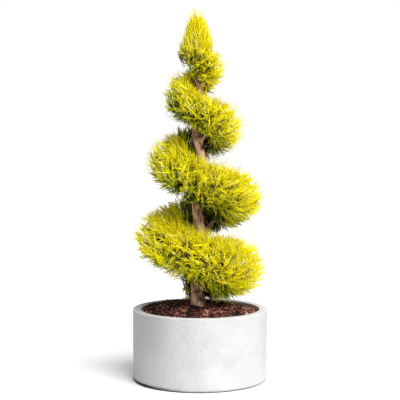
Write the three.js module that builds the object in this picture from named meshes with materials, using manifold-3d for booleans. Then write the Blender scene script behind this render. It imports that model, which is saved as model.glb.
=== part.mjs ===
// Spiral topiary: a golden cypress trained as a tapering coil round its own trunk, in a low round
// concrete planter. Millimetres, +Z up. The origin is the middle of the planter's flat underside.
// Seen from the front (-Y) the coil comes down in front of the trunk from left to right.
import * as THREE from "three";
import { mergeVertices } from "three/addons/utils/BufferGeometryUtils.js";
import Module from "manifold-3d";

// Driving dimensions
const CLEAR = 0.3; // between two pieces that touch
const PLANTER = {
  rimRadius: 202,
  footRadius: 201,
  height: 214,
  wall: 24,
  floor: 30,
  rimEdge: 2, // radius of the rounded edges of the rim
  footBevel: 3,
  sides: 48,
};
const SOIL = {
  recess: 9, // from the rim down to the soil at the wall
  moundHeight: 227, // of the soil at the trunk's foot
  moundFlat: 32, // radius of the level spot that the trunk stands on
  fullness: 0.6, // power under 1: the mound rises sooner from the wall
  lean: 0.14, // the mound is fuller on the left and flatter on the right
  leanAtWall: 0.1,
  rings: 7,
};
const TRUNK = {
  x: -4.5, // it stands a little left of the planter's middle
  top: 1012,
  footRadius: 17.6,
  tipRadius: 5.2,
  flare: 4.6, // how far the root flare adds to the foot's radius
  flareHeight: 28,
  buttresses: 5,
  buttressDepth: 0.22,
  sways: [0, 7, 7.5, 8.5, 8, 3.5, 6, 4.5], // how far it bends away from each lobe, from the top
  bendStart: 0.1, // share of the height over which it begins to bend
  halvings: 24, // in the search for the coil's place at a height
  taperPower: 1.8,
  sides: 14,
  rings: 30,
  ringPower: 1.15, // over 1: rings lie closer at the foot
};
// The coil is measured at each half turn, downwards from the left lobe under the tip: even entries
// are left lobes and odd ones are right lobes.
const COIL = {
  heights: [988, 934, 850, 761, 655, 548, 430, 338, 278],
  reaches: [57, 76, 101, 131, 149, 188, 187, 194, 178], // from the coil's axis to the outer shoots
  halfHeights: [33, 48, 58, 62, 67, 77, 74, 84, 82],
  start: 0.14, // in half turns
  end: 7.62,
  masses: 13,
  flatter: 0.08, // share by which the band is thinner in front and behind than at the lobes
  innerTop: 8.5, // radius of the open space that is left round the trunk
  innerFoot: 21,
  endTaper: 0.35, // half turns over which the lower end rounds off
  endLoss: 0.5, // share of its section that the very end has lost
};
const CORE = {
  share: 0.93, // of the band's section, in the hollows between tufts
  innerShare: 1, // on the side that faces the trunk, which has no tufts
  innerCorner: 0.8, // power under 1: the section is squarer on that side
  fullAt: 0.35, // where along the section its length round the trunk is measured, in half widths
  uneven: 0.03, // chance rise and fall of the hollows
  astray: 0.16, // chance shift of the hollows along the surface, in tuft widths
  tuft: 0.4, // width of one tuft, of the band's half height
  tuftLow: 1.01, // how far the tufts stand out, in the band's section
  tuftHigh: 1.12,
  tuftLean: 0.42, // how far a tuft's point leans over, in tuft widths
  bareBelow: -0.55, // cosine on the section: the side nearer to the trunk has no tufts
};
const SPRAY = {
  spacing: 0.9, // of the band's half height
  astray: 0.3, // chance shift along the surface, in spacings
  length: 0.8, // of the band's half height
  uneven: 0.12, // chance change of length
  slimmest: 0.5, // width over length
  widest: 0.68,
  thickness: 0.08, // over length, at the ridge
  ridge: 0.47, // where the ridge is highest, along the blade
  lowSlope: 0.5, // how steeply shoots stand off the surface, in radians
  highSlope: 1.2,
  upward: 0.5, // how far they turn up towards the light
  outward: 0.8, // and away from the trunk
  spread: 0.6, // chance lean along the surface
  twist: 0.6, // chance roll of the blade's face, radians
  nearest: 1.08, // where tips end, in the band's section
  farthest: 1.16,
  tries: 20, // places tried before a spray is left out
};
const TWIG = {
  sides: 3,
  radius: 0.032, // at the mass's middle line, of the spray's length
  endRadius: 0.014,
  branching: 0.12, // half turns that it runs on from where it leaves the middle line
  fromSeam: 0.04, // half turns that it keeps from the next mass
  reach: 0.4, // how far it runs out into the blade, of the spray's length
};
const BOUGH = {
  entry: 0.42, // where it enters the mass from below, in half widths from the section's inner end
  below: 0.1, // how far under the core its tip is, in half heights
  rise: 0.95, // height gained for each millimetre outwards
  leastRise: 0.5, // the same for the lowest boughs, which run a little way into their masses
  lowestRoot: 36, // above the foot of the trunk
  arch: 0.1, // share of the length by which the limb bows above its straight line
  rootRadius: 0.075, // of the band's half height
  tipShare: 0.62, // tip radius over root radius
  stemSink: 0.5, // how far the stem runs on, in the band's half heights
  stemTaper: 0.8,
  sides: 6,
  rings: 4,
};
const TIP = {
  top: 1104,
  bottom: 962, // of the left lobe that the tip ends in
  radius: 54,
  fullest: 990, // height of the widest part
  fullness: 0.55, // power of the taper: under 1 is rounder than a cone
  offset: -6, // of the lobe's middle from the coil's axis
  summit: -12, // of the highest shoot from the coil's axis
  drawnIn: 0.4, // share by which its section is smaller at its very bottom
  slope: 0.3, // of the plane that parts the tip from the coil under it
  planeHeight: 991, // of that plane at the trunk
  coreTop: 1068,
  coreSides: 15,
  tuft: 16,
  tuftLean: 0.3, // how far a tuft's point leans outwards, in tuft widths
  tuftRise: 0.6, // and upwards
  tuftShort: 0.06, // how much less its tufts stand out, in the section
  stemShare: 0.8, // how far the stem runs up to the summit
  sprays: 40,
  highest: 1.36, // of the sprays, as a share of the core's height
  sprayLength: 38,
  sprayRise: 1.5, // how much further than on the coil they turn up at the core's top
};
const LIMB_MARGIN = 2.2; // how clear of a limb each spray stays
const SEED = 20611;
const GOLDEN_ANGLE = Math.PI * (3 - Math.sqrt(5));

const wasm = await Module();
wasm.setup();

// Seeded chance, the same at every run.
function chance(seed) {
  let a = seed >>> 0;
  return () => {
    a = (a + 0x6d2b79f5) >>> 0;
    let t = Math.imul(a ^ (a >>> 15), 1 | a);
    t = (t + Math.imul(t ^ (t >>> 7), 61 | t)) ^ t;
    return ((t ^ (t >>> 14)) >>> 0) / 4294967296;
  };
}
const between = (random, low, high) => low + (high - low) * random();

// A smooth curve through evenly spaced values (Catmull-Rom).
function along(values, s) {
  const last = values.length - 1;
  const i = Math.min(last - 1, Math.max(0, Math.floor(s)));
  const t = s - i;
  const p = (k) => values[Math.min(last, Math.max(0, k))];
  const [a, b, c, d] = [i === 0 ? 2 * p(0) - p(1) : p(i - 1), p(i), p(i + 1), p(i + 2)];
  const [square, cube] = [2 * a - 5 * b + 4 * c - d, 3 * b - a - 3 * c + d];
  return 0.5 * (2 * b + (c - a) * t + square * t ** 2 + cube * t ** 3);
}

// The upright line that the coil is wound round, and the coil's place, in half turns, at a height of
// the trunk
const coilAxis = (z) => new THREE.Vector3(TRUNK.x, 0, z);
function coilPlace(z) {
  let [above, below] = [0, TRUNK.sways.length - 1];
  for (let halving = 0; halving < TRUNK.halvings; halving++) {
    const middle = (above + below) / 2;
    if (along(COIL.heights, middle) > z) above = middle;
    else below = middle;
  }
  return above;
}
const turnAt = (s) => Math.PI * (s - 1);

// The trunk's axis and radius at a height: it bends away from the lobe at each height, and begins to
// as a quarter of a sine
const trunkFoot = SOIL.moundHeight + CLEAR;
const heightShare = (z) => (z - trunkFoot) / (TRUNK.top - trunkFoot);
function trunkAxis(z) {
  const begun = THREE.MathUtils.clamp(heightShare(z) / TRUNK.bendStart, 0, 1);
  const place = coilPlace(z);
  const bend = Math.sin((Math.PI / 2) * begun) * along(TRUNK.sways, place);
  const turn = turnAt(place);
  return coilAxis(z).sub(new THREE.Vector3(bend * Math.cos(turn), bend * Math.sin(turn), 0));
}
const trunkRadius = (z) =>
  THREE.MathUtils.lerp(TRUNK.footRadius, TRUNK.tipRadius, Math.max(0, heightShare(z)) ** TRUNK.taperPower);

// The coil's section at s half turns: an upright ellipse that faces away from the trunk
function section(s) {
  const turn = turnAt(s);
  const away = new THREE.Vector3(Math.cos(turn), Math.sin(turn), 0);
  const onward = new THREE.Vector3(-Math.sin(turn), Math.cos(turn), 0);
  const reach = along(COIL.reaches, s);
  const inner = THREE.MathUtils.lerp(COIL.innerTop, COIL.innerFoot, s / COIL.end);
  const fromEnd = THREE.MathUtils.clamp((COIL.end - s) / COIL.endTaper, 0, 1);
  const taper = Math.sqrt(1 - COIL.endLoss * (1 - fromEnd) ** 2);
  const size = taper * along(COIL.halfHeights, s);
  const halfHeight = size * (1 - COIL.flatter * Math.sin(turn) ** 2);
  const halfWidth = (taper * (reach - inner)) / 2;
  const centre = coilAxis(along(COIL.heights, s)).addScaledVector(away, (inner + reach) / 2);
  return { s, away, onward, centre, halfWidth, halfHeight, size };
}
const UP = new THREE.Vector3(0, 0, 1);
function onSection(sec, angle, share) {
  return sec.centre
    .clone()
    .addScaledVector(sec.away, share * sec.halfWidth * Math.cos(angle))
    .addScaledVector(UP, share * sec.halfHeight * Math.sin(angle));
}
function onCore(sec, angle, share) {
  const [across, upright] = [Math.cos(angle), Math.sin(angle)];
  const power = across < 0 ? CORE.innerCorner : 1;
  const wide = across < 0 ? CORE.innerShare : share;
  return sec.centre
    .clone()
    .addScaledVector(sec.away, wide * sec.halfWidth * Math.sign(across) * Math.abs(across) ** power)
    .addScaledVector(UP, share * sec.halfHeight * Math.sign(upright) * Math.abs(upright) ** power);
}
// The way out of the section at an angle
function outOfSection(sec, angle) {
  return sec.away
    .clone()
    .multiplyScalar(Math.cos(angle) / sec.halfWidth)
    .addScaledVector(UP, Math.sin(angle) / sec.halfHeight)
    .normalize();
}

// A closed surface through rings of points, each ring with as many points, running anticlockwise
// when it is seen from the side that the rings move towards. With tuftAt each cell carries a tuft:
// tuftAt gives the tuft's point from the cell's row, its place in the row and its middle.
function loft(rings, tuftAt) {
  const n = rings[0].length;
  const points = rings.flat();
  const index = [];
  for (let i = 0; i + 1 < rings.length; i++)
    for (let j = 0; j < n; j++) {
      const [a, b] = [i * n + j, i * n + ((j + 1) % n)];
      if (tuftAt) {
        const corners = [a, b, b + n, a + n];
        const middle = new THREE.Vector3();
        corners.forEach((c) => middle.addScaledVector(points[c], 1 / corners.length));
        const top = points.push(tuftAt(i, j, middle)) - 1;
        corners.forEach((c, k) => index.push(c, corners[(k + 1) % 4], top));
      } else index.push(a, b, b + n, a, b + n, a + n);
    }
  const lastRing = (rings.length - 1) * n;
  for (let j = 1; j + 1 < n; j++) index.push(0, j + 1, j, lastRing, lastRing + j, lastRing + j + 1);
  return surface(points, index);
}
function surface(points, index) {
  const geometry = new THREE.BufferGeometry().setFromPoints(points);
  geometry.setIndex(index);
  return geometry;
}

// A round limb along points, each with its own radius
function limb(points, radii, sides) {
  const rings = points.map((point, i) => {
    const ahead = points[Math.min(i + 1, points.length - 1)];
    const behind = points[Math.max(i - 1, 0)];
    const way = ahead.clone().sub(behind).normalize();
    const side = new THREE.Vector3(0, 0, 1).cross(way);
    if (side.lengthSq() < 1e-3) side.set(1, 0, 0);
    side.normalize();
    const other = way.clone().cross(side).normalize();
    return Array.from({ length: sides }, (_, k) => {
      const a = (2 * Math.PI * k) / sides;
      return point
        .clone()
        .addScaledVector(side, radii[i] * Math.cos(a))
        .addScaledVector(other, radii[i] * Math.sin(a));
    });
  });
  return loft(rings);
}

// Between a three.js geometry and a solid that can be joined and cut
function solidOf(geometry) {
  const bare = geometry.clone();
  bare.deleteAttribute("normal");
  bare.deleteAttribute("uv");
  const merged = mergeVertices(bare, 1e-4);
  return new wasm.Manifold(
    new wasm.Mesh({
      numProp: 3,
      vertProperties: merged.attributes.position.array,
      triVerts: new Uint32Array(merged.index.array),
    }),
  );
}
function geometryOf(solid) {
  const mesh = solid.getMesh();
  const geometry = new THREE.BufferGeometry();
  geometry.setAttribute("position", new THREE.BufferAttribute(mesh.vertProperties, 3));
  geometry.setIndex(new THREE.BufferAttribute(mesh.triVerts, 1));
  geometry.computeVertexNormals();
  return geometry;
}
// The largest closed body of a solid, with any hollow that the joining sealed filled in
const wholeBody = (solid) => solid.decompose().reduce((a, b) => (b.volume() > a.volume() ? b : a));

const material = (color, roughness) => new THREE.MeshStandardMaterial({ color, roughness, metalness: 0 });
const CONCRETE = material("#dcdbd9", 0.85);
const BARK_MULCH = material("#4a2c20", 0.95);
const BARK = material("#8a6a4c", 0.9);
const FOLIAGE = material("#c9bb1e", 0.75);

const model = new THREE.Group();
function add(name, geometry, finish) {
  const mesh = new THREE.Mesh(geometry, finish);
  mesh.name = name;
  model.add(mesh);
}

// Planter: a plain drum with a slight draft, a rounded rim and a bevelled foot
function planterGeometry() {
  const { rimRadius, footRadius, height, wall, floor, rimEdge, footBevel, sides } = PLANTER;
  const inner = rimRadius - wall;
  const rounded = (x, y, from) =>
    [0, 0.5, 1].map((t) => {
      const a = from + (t * Math.PI) / 2;
      return new THREE.Vector2(x + rimEdge * Math.cos(a), y + rimEdge * Math.sin(a));
    });
  const outline = [
    new THREE.Vector2(0, 0),
    new THREE.Vector2(footRadius - footBevel, 0),
    new THREE.Vector2(footRadius, footBevel),
    ...rounded(rimRadius - rimEdge, height - rimEdge, 0),
    ...rounded(inner + rimEdge, height - rimEdge, Math.PI / 2),
    new THREE.Vector2(inner, floor),
    new THREE.Vector2(0, floor),
  ];
  return new THREE.LatheGeometry(outline, sides).rotateX(Math.PI / 2);
}

// Soil: fills the planter and is mounded up to the foot of the trunk, more so on the left
function soilGeometry() {
  const radius = PLANTER.rimRadius - PLANTER.wall - CLEAR;
  const edge = PLANTER.height - SOIL.recess;
  const slope = Array.from({ length: SOIL.rings }, (_, i) => {
    const t = i / (SOIL.rings - 1);
    const swell = Math.sin((Math.PI / 2) * t ** SOIL.fullness);
    return new THREE.Vector2(
      THREE.MathUtils.lerp(radius, SOIL.moundFlat, t),
      THREE.MathUtils.lerp(edge, SOIL.moundHeight, swell),
    );
  });
  const outline = [
    new THREE.Vector2(0, PLANTER.floor + CLEAR),
    new THREE.Vector2(radius, PLANTER.floor + CLEAR),
    ...slope,
    new THREE.Vector2(0, SOIL.moundHeight),
  ];
  const heap = new THREE.LatheGeometry(outline, PLANTER.sides).rotateX(Math.PI / 2);
  const spot = heap.attributes.position;
  for (let i = 0; i < spot.count; i++) {
    const [x, y, z] = [spot.getX(i), spot.getY(i), spot.getZ(i)];
    const share = (radius - Math.hypot(x, y)) / (radius - SOIL.moundFlat);
    if (z > PLANTER.floor + 1 && share < 1) {
      spot.setZ(i, z - SOIL.lean * x * (SOIL.leanAtWall + share) * (1 - share));
    }
  }
  return heap;
}

// Trunk: one stem with its taper, its bends and a root flare. grown makes it fatter all round.
function trunkGeometry(grown = 0) {
  const rings = Array.from({ length: TRUNK.rings }, (_, i) => {
    const z = THREE.MathUtils.lerp(trunkFoot, TRUNK.top, (i / (TRUNK.rings - 1)) ** TRUNK.ringPower);
    const centre = trunkAxis(z);
    const flare = Math.exp(-(z - trunkFoot) / TRUNK.flareHeight);
    return Array.from({ length: TRUNK.sides }, (_, k) => {
      const a = (2 * Math.PI * k) / TRUNK.sides;
      const buttress = 1 + TRUNK.buttressDepth * Math.cos(TRUNK.buttresses * a);
      const radius = trunkRadius(z) + TRUNK.flare * flare * buttress + grown;
      return new THREE.Vector3(centre.x + radius * Math.cos(a), centre.y + radius * Math.sin(a), z);
    });
  });
  return loft(rings);
}

// Where each mass of the coil lies, and the bough that carries it from the trunk
const step = (COIL.end - COIL.start) / COIL.masses;
const pad = Array.from({ length: COIL.masses }, (_, i) => {
  const from = COIL.start + i * step;
  const middle = section(from + step / 2);
  const across = BOUGH.entry - 1;
  const under = (CORE.share + BOUGH.below) * Math.sqrt(1 - across ** 2);
  const stemStart = middle.centre
    .clone()
    .addScaledVector(middle.away, across * middle.halfWidth)
    .addScaledVector(UP, -under * middle.halfHeight);
  const outwards = stemStart.clone().sub(trunkAxis(stemStart.z)).setZ(0).length();
  const rootHeight = Math.max(stemStart.z - BOUGH.rise * outwards, trunkFoot + BOUGH.lowestRoot);
  stemStart.z = Math.max(stemStart.z, rootHeight + BOUGH.leastRise * outwards);
  const root = trunkAxis(rootHeight);
  const line = stemStart.clone().sub(root);
  const tip = stemStart.clone();
  const points = Array.from({ length: BOUGH.rings }, (_, k) => {
    const t = k / (BOUGH.rings - 1);
    const bow = BOUGH.arch * line.length() * Math.sin(Math.PI * t);
    return root.clone().addScaledVector(line, t).addScaledVector(UP, bow);
  });
  const rootRadius = BOUGH.rootRadius * middle.size;
  const radii = points.map((_, k) => rootRadius * (1 - ((1 - BOUGH.tipShare) * k) / (points.length - 1)));
  const way = points.at(-1).clone().sub(points.at(-2)).normalize();
  return { from, to: from + step, middle, points, radii, tip, way };
});

const trunkSolid = solidOf(trunkGeometry());
const trunkRoom = solidOf(trunkGeometry(CLEAR + 0.1));
const boughSolid = (p, grown = 0) => {
  const radii = p.radii.map((radius) => radius + grown);
  return wholeBody(solidOf(limb(p.points, radii, BOUGH.sides)).subtract(trunkRoom));
};
// Room that the foliage's cores leave for the trunk and the boughs
const limbRoom = wasm.Manifold.union([trunkRoom, ...pad.map((p) => boughSolid(p, 2 * CLEAR))]);

// True where a point keeps to the room outside the trunk and the boughs
function clearOfLimbs(point) {
  if (point.z < TRUNK.top + LIMB_MARGIN) {
    const axis = trunkAxis(point.z);
    if (Math.hypot(point.x - axis.x, point.y - axis.y) < trunkRadius(point.z) + LIMB_MARGIN) return false;
  }
  const segment = new THREE.Line3();
  const nearest = new THREE.Vector3();
  return pad.every((p) =>
    p.points.slice(1).every((end, k) => {
      segment.set(p.points[k], end).closestPointToPoint(point, true, nearest);
      return nearest.distanceTo(point) > p.radii[k] + LIMB_MARGIN;
    }),
  );
}

// One spray: a flat toothed blade with a ridge on both faces. Each row is a point of the outline,
// along the blade and across it, as shares of its length and width.
const BLADE = [
  [0, 0],
  [0.5, -0.46],
  [0.6, -0.13],
  [1, 0],
  [0.68, 0.14],
  [0.62, 0.5],
];
function bladePoints(spray) {
  const { root, way, side, length, width } = spray;
  return BLADE.map(([along, across]) =>
    root
      .clone()
      .addScaledVector(way, along * length)
      .addScaledVector(side, across * width),
  );
}
function bladeSolid(spray) {
  const outline = bladePoints(spray);
  const face = spray.way.clone().cross(spray.side).normalize();
  const ridge = spray.root.clone().addScaledVector(spray.way, SPRAY.ridge * spray.length);
  const half = (SPRAY.thickness * spray.length) / 2;
  const ridges = [half, -half].map((off) => ridge.clone().addScaledVector(face, off));
  const [n, front, back] = [outline.length, outline.length, outline.length + 1];
  const index = outline.flatMap((_, i) => {
    const next = (i + 1) % n;
    return [i, next, front, next, i, back];
  });
  return solidOf(surface([...outline, ...ridges], index));
}

// The way a shoot grows at a place whose open side faces outwards: along the surface, up to the
// light and away from the trunk with a chance lean, and standing off the surface by a slope
function growth(random, outwards, away) {
  const lean = () => between(random, -SPRAY.spread, SPRAY.spread);
  const flat = new THREE.Vector3(lean(), lean(), lean())
    .addScaledVector(UP, SPRAY.upward)
    .addScaledVector(away, SPRAY.outward)
    .projectOnPlane(outwards)
    .normalize();
  const slope = between(random, SPRAY.lowSlope, SPRAY.highSlope);
  return flat.multiplyScalar(Math.cos(slope)).addScaledVector(outwards, Math.sin(slope));
}
// A spray of a length that ends at a tip, with its face turned outwards
function sprayAt(random, tip, way, length, outwards) {
  const level = way.clone().cross(outwards).normalize();
  const roll = between(random, -SPRAY.twist, SPRAY.twist);
  const side = level.applyAxisAngle(way, roll);
  const root = tip.clone().addScaledVector(way, -length);
  return { root, way, side, length, width: length * between(random, SPRAY.slimmest, SPRAY.widest) };
}
// The three-sided twig that carries a spray, from a place on the mass's middle line
function twigSolid(from, spray) {
  const end = spray.root.clone().addScaledVector(spray.way, TWIG.reach * spray.length);
  const radii = [TWIG.radius * spray.length, TWIG.endRadius * spray.length];
  return solidOf(limb([from, end], radii, TWIG.sides));
}
// Points on a blade that have to stay in its mass's room: its outline and the middles of its edges
function probes(spray) {
  const outline = bladePoints(spray);
  return outline.flatMap((p, i) => [p, p.clone().lerp(outline[(i + 1) % outline.length], 0.5)]);
}

// Height of the plane that parts the tip from the coil
const partingHeight = (point) => TIP.planeHeight + TIP.slope * (point.x - TRUNK.x);

// Every other ring is turned by half a tuft, so that the tufts lie as the bricks of a wall do
const stagger = (ring) => (ring % 2) / 2;

// A mass of the coil: its tufted core, the stem that the bough's tip feeds, and twigs that branch
// from the mass's middle line and end in sprays that stand out of the core
function coilMass(p, number) {
  const random = chance(SEED + 101 * number);
  const middle = p.middle;
  const axisToMiddle = middle.centre.clone().sub(coilAxis(middle.centre.z)).length();
  const arc = Math.PI * step * (axisToMiddle + CORE.fullAt * middle.halfWidth);
  const around = 2 * Math.PI * Math.sqrt((middle.halfWidth ** 2 + middle.halfHeight ** 2) / 2);
  const keptUnderTip = (point) => {
    point.z = Math.min(point.z, partingHeight(point) - CLEAR / 2);
    return point;
  };

  const width = CORE.tuft * middle.size;
  const cells = Math.round(arc / width);
  const sides = Math.round(around / width);
  const place = (i) => THREE.MathUtils.lerp(p.from, p.to, i / cells);
  const rings = Array.from({ length: cells + 1 }, (_, i) => {
    const atSeam = i === 0 || i === cells;
    const shift = atSeam ? (i === 0 ? CLEAR / 2 : -CLEAR / 2) : 0;
    return Array.from({ length: sides }, (_, k) => {
      const sec = section(place(atSeam ? i : i + between(random, -CORE.astray, CORE.astray)));
      const angle = (-2 * Math.PI * (k + stagger(i) + between(random, -CORE.astray, CORE.astray))) / sides;
      const share = CORE.share + between(random, -CORE.uneven, CORE.uneven);
      return keptUnderTip(onCore(sec, angle, share).addScaledVector(sec.onward, shift));
    });
  });
  const tuftAt = (i, k, cell) => {
    const sec = section(place(i + 0.5));
    const angle = (-2 * Math.PI * (k + 0.75)) / sides;
    if (Math.cos(angle) < CORE.bareBelow) return cell;
    const outwards = outOfSection(sec, angle);
    const lean = growth(random, outwards, sec.away).projectOnPlane(outwards);
    lean.setLength(CORE.tuftLean * width).addScaledVector(sec.onward, -0.5 * lean.dot(sec.onward));
    return keptUnderTip(onSection(sec, angle, between(random, CORE.tuftLow, CORE.tuftHigh)).add(lean));
  };
  let solid = solidOf(loft(rings, tuftAt)).subtract(limbRoom);
  const stemRadius = p.radii.at(-1);
  const stemStart = p.tip.clone().addScaledVector(p.way, CLEAR);
  const stemEnd = stemStart.clone().addScaledVector(p.way, BOUGH.stemSink * middle.size);
  const stemRadii = [stemRadius, stemRadius * BOUGH.stemTaper];
  solid = solid.add(solidOf(limb([stemStart, stemEnd], stemRadii, BOUGH.sides)));

  const [first, last] = [section(p.from), section(p.to)];
  const inRoom = (point) => {
    const here = point.clone().sub(coilAxis(point.z));
    const aside = Math.atan2(here.dot(middle.onward), here.dot(middle.away)) / Math.PI;
    const s = middle.s + aside;
    const sec = section(THREE.MathUtils.clamp(s, p.from, p.to));
    if (point.clone().sub(first.centre).dot(first.onward) < CLEAR) return false;
    if (point.clone().sub(last.centre).dot(last.onward) > -CLEAR) return false;
    const out = here.length() - sec.centre.clone().sub(coilAxis(sec.centre.z)).length();
    const share = Math.hypot(out / sec.halfWidth, (point.z - sec.centre.z) / sec.halfHeight);
    if (share > SPRAY.farthest + SPRAY.thickness || point.z > partingHeight(point) - CLEAR) return false;
    return point.z > SOIL.moundHeight + LIMB_MARGIN && clearOfLimbs(point);
  };
  const spacing = SPRAY.spacing * middle.size;
  const rows = Math.max(2, Math.round(arc / spacing));
  const perRow = Math.max(5, Math.round(around / spacing));
  for (let i = 0; i < rows; i++)
    for (let k = 0; k < perRow; k++)
      for (let attempt = 0; attempt < SPRAY.tries; attempt++) {
        const astray = () => between(random, -SPRAY.astray, SPRAY.astray);
        const s = THREE.MathUtils.lerp(p.from, p.to, (i + 0.5 + astray()) / rows);
        const angle = (2 * Math.PI * (k + stagger(i) + astray())) / perRow;
        const sec = section(s);
        const outwards = outOfSection(sec, angle);
        const length = SPRAY.length * sec.size * between(random, 1 - SPRAY.uneven, 1 + SPRAY.uneven);
        const way = growth(random, outwards, sec.away);
        const tip = onSection(sec, angle, between(random, SPRAY.nearest, SPRAY.farthest));
        const spray = sprayAt(random, tip, way, length, outwards);
        if (!probes(spray).every(inRoom)) continue;
        const branch = section(Math.max(p.from + TWIG.fromSeam, s - TWIG.branching)).centre;
        solid = solid.add(bladeSolid(spray)).add(twigSolid(branch, spray));
        break;
      }
  return wholeBody(solid);
}

// The tip: a full tuft round the leader, which leans a little to the left
function tipShape(z) {
  const t = Math.max(0, (z - TIP.fullest) / (TIP.top - TIP.fullest));
  const low = THREE.MathUtils.clamp((z - TIP.bottom) / (TIP.fullest - TIP.bottom), 0, 1);
  const radius = TIP.radius * (t > 0 ? (1 - t) ** TIP.fullness : Math.sqrt(1 - TIP.drawnIn * (1 - low) ** 2));
  return { radius, centre: new THREE.Vector3(TRUNK.x + TIP.offset, 0, z) };
}
// A point on the tip: up is 0 at the plane that parts it from the coil and 1 at the core's top
function onTip(up, angle, share) {
  const away = new THREE.Vector3(Math.cos(angle), Math.sin(angle), 0);
  const foot = partingHeight(tipShape(TIP.planeHeight).centre.addScaledVector(away, TIP.radius));
  const { radius, centre } = tipShape(THREE.MathUtils.lerp(foot, TIP.coreTop, up));
  const point = centre.clone().addScaledVector(away, share * radius);
  if (up <= 0) point.z = partingHeight(point) + CLEAR / 2;
  return { point, away };
}
function tipMass() {
  const random = chance(SEED);
  const cells = Math.round((TIP.coreTop - TIP.planeHeight) / TIP.tuft);
  const sides = TIP.coreSides;
  const astray = () => between(random, -CORE.astray, CORE.astray);
  const rings = Array.from({ length: cells + 1 }, (_, i) => {
    const up = i === 0 || i === cells ? i / cells : (i + astray()) / cells;
    return Array.from({ length: sides }, (_, k) => {
      const share = CORE.share + between(random, -CORE.uneven, CORE.uneven);
      return onTip(up, (2 * Math.PI * (k + stagger(i) + astray())) / sides, share).point;
    });
  });
  const tuftAt = (i, k) => {
    const share = between(random, CORE.tuftLow, CORE.tuftHigh) - TIP.tuftShort;
    const { point, away } = onTip((i + 0.5) / cells, (2 * Math.PI * (k + 0.75)) / sides, share);
    point.addScaledVector(away, TIP.tuftLean * TIP.tuft).addScaledVector(UP, TIP.tuftRise * TIP.tuft);
    point.z = Math.max(point.z, partingHeight(point) + CLEAR / 2);
    return point;
  };
  let solid = solidOf(loft(rings, tuftAt)).subtract(trunkRoom);
  const stemStart = trunkAxis(TRUNK.top).addScaledVector(UP, CLEAR);
  const summit = coilAxis(TIP.top).setX(TRUNK.x + TIP.summit);
  const stemBend = stemStart.clone().addScaledVector(UP, TRUNK.tipRadius);
  const stemEnd = stemStart.clone().lerp(summit, TIP.stemShare);
  const stemRadii = [TRUNK.tipRadius, TRUNK.tipRadius, TRUNK.tipRadius / 2];
  solid = solid.add(solidOf(limb([stemStart, stemBend, stemEnd], stemRadii, BOUGH.sides)));
  const onStem = (z) => THREE.MathUtils.clamp((z - stemBend.z) / (stemEnd.z - stemBend.z), 0, 1);
  for (let i = 0; i < TIP.sprays; i++) {
    const up = (TIP.highest * (i + 0.5)) / TIP.sprays;
    const { point, away } = onTip(up, i * GOLDEN_ANGLE, between(random, SPRAY.nearest, SPRAY.farthest));
    const way = growth(random, away, away).addScaledVector(UP, TIP.sprayRise * up).normalize();
    const length = TIP.sprayLength * between(random, 1 - SPRAY.uneven, 1 + SPRAY.uneven);
    const spray = sprayAt(random, point, way, length, away);
    if (probes(spray).every((p) => p.z > partingHeight(p) + CLEAR && p.z < TIP.top && clearOfLimbs(p))) {
      const branch = stemBend.clone().lerp(stemEnd, onStem(spray.root.z));
      solid = solid.add(bladeSolid(spray)).add(twigSolid(branch, spray));
    }
  }
  const way = summit.clone().sub(stemEnd).normalize();
  const leader = sprayAt(random, summit, way, TIP.sprayLength, new THREE.Vector3(0, -1, 0));
  return wholeBody(solid.add(bladeSolid(leader)));
}

const twoDigits = (n) => String(n).padStart(2, "0");
add("planter", planterGeometry(), CONCRETE);
add("soil", soilGeometry(), BARK_MULCH);
add("trunk", geometryOf(trunkSolid), BARK);
add("foliage_tip", geometryOf(tipMass()), FOLIAGE);
pad.forEach((p, i) => {
  add(`bough_${twoDigits(i + 1)}`, geometryOf(boughSolid(p)), BARK);
  add(`foliage_${twoDigits(i + 1)}`, geometryOf(coilMass(p, i + 1)), FOLIAGE);
});

export default model;
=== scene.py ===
"""Spiral topiary: a golden cypress trained as a coil round its own trunk, in a round concrete planter.

+Z is up and the origin is the middle of the planter's flat underside. Lengths are millimetres, as in the
part's source, and become metres where a mesh is made. Seen from the front (-Y) the coil comes down in
front of the trunk from left to right. A place along the coil is told in half turns from the top: 0, 2, 4
and 6 are the middles of its left lobes, and 1, 3, 5 and 7 those of its right ones.
"""
import math

import bpy
import numpy as np
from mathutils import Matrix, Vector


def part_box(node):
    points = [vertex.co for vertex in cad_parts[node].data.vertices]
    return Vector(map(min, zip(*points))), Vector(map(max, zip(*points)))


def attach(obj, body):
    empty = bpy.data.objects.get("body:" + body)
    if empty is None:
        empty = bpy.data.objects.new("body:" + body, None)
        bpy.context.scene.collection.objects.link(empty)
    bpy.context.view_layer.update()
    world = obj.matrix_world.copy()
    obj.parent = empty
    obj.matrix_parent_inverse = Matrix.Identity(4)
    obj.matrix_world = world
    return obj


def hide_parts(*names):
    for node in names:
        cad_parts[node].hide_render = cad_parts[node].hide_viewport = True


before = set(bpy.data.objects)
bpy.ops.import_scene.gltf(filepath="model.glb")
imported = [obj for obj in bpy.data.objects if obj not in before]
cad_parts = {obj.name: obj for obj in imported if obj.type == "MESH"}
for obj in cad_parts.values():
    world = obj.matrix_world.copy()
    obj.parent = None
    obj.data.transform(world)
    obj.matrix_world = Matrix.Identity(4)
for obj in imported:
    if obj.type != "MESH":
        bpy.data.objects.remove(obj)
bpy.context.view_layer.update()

MM = 0.001
UP = np.array([0.0, 0.0, 1.0])
GOLDEN_ANGLE = math.pi * (3 - math.sqrt(5))
# Each piece's chance starts from this seed and a number of its own
SEED = 20611

# Camera: as far from the planter and as high as the photograph was taken, looking slightly down
CAMERA = {"distance": 3520, "height": 780, "pitch": 3.89, "lens": 106.1}
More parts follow.
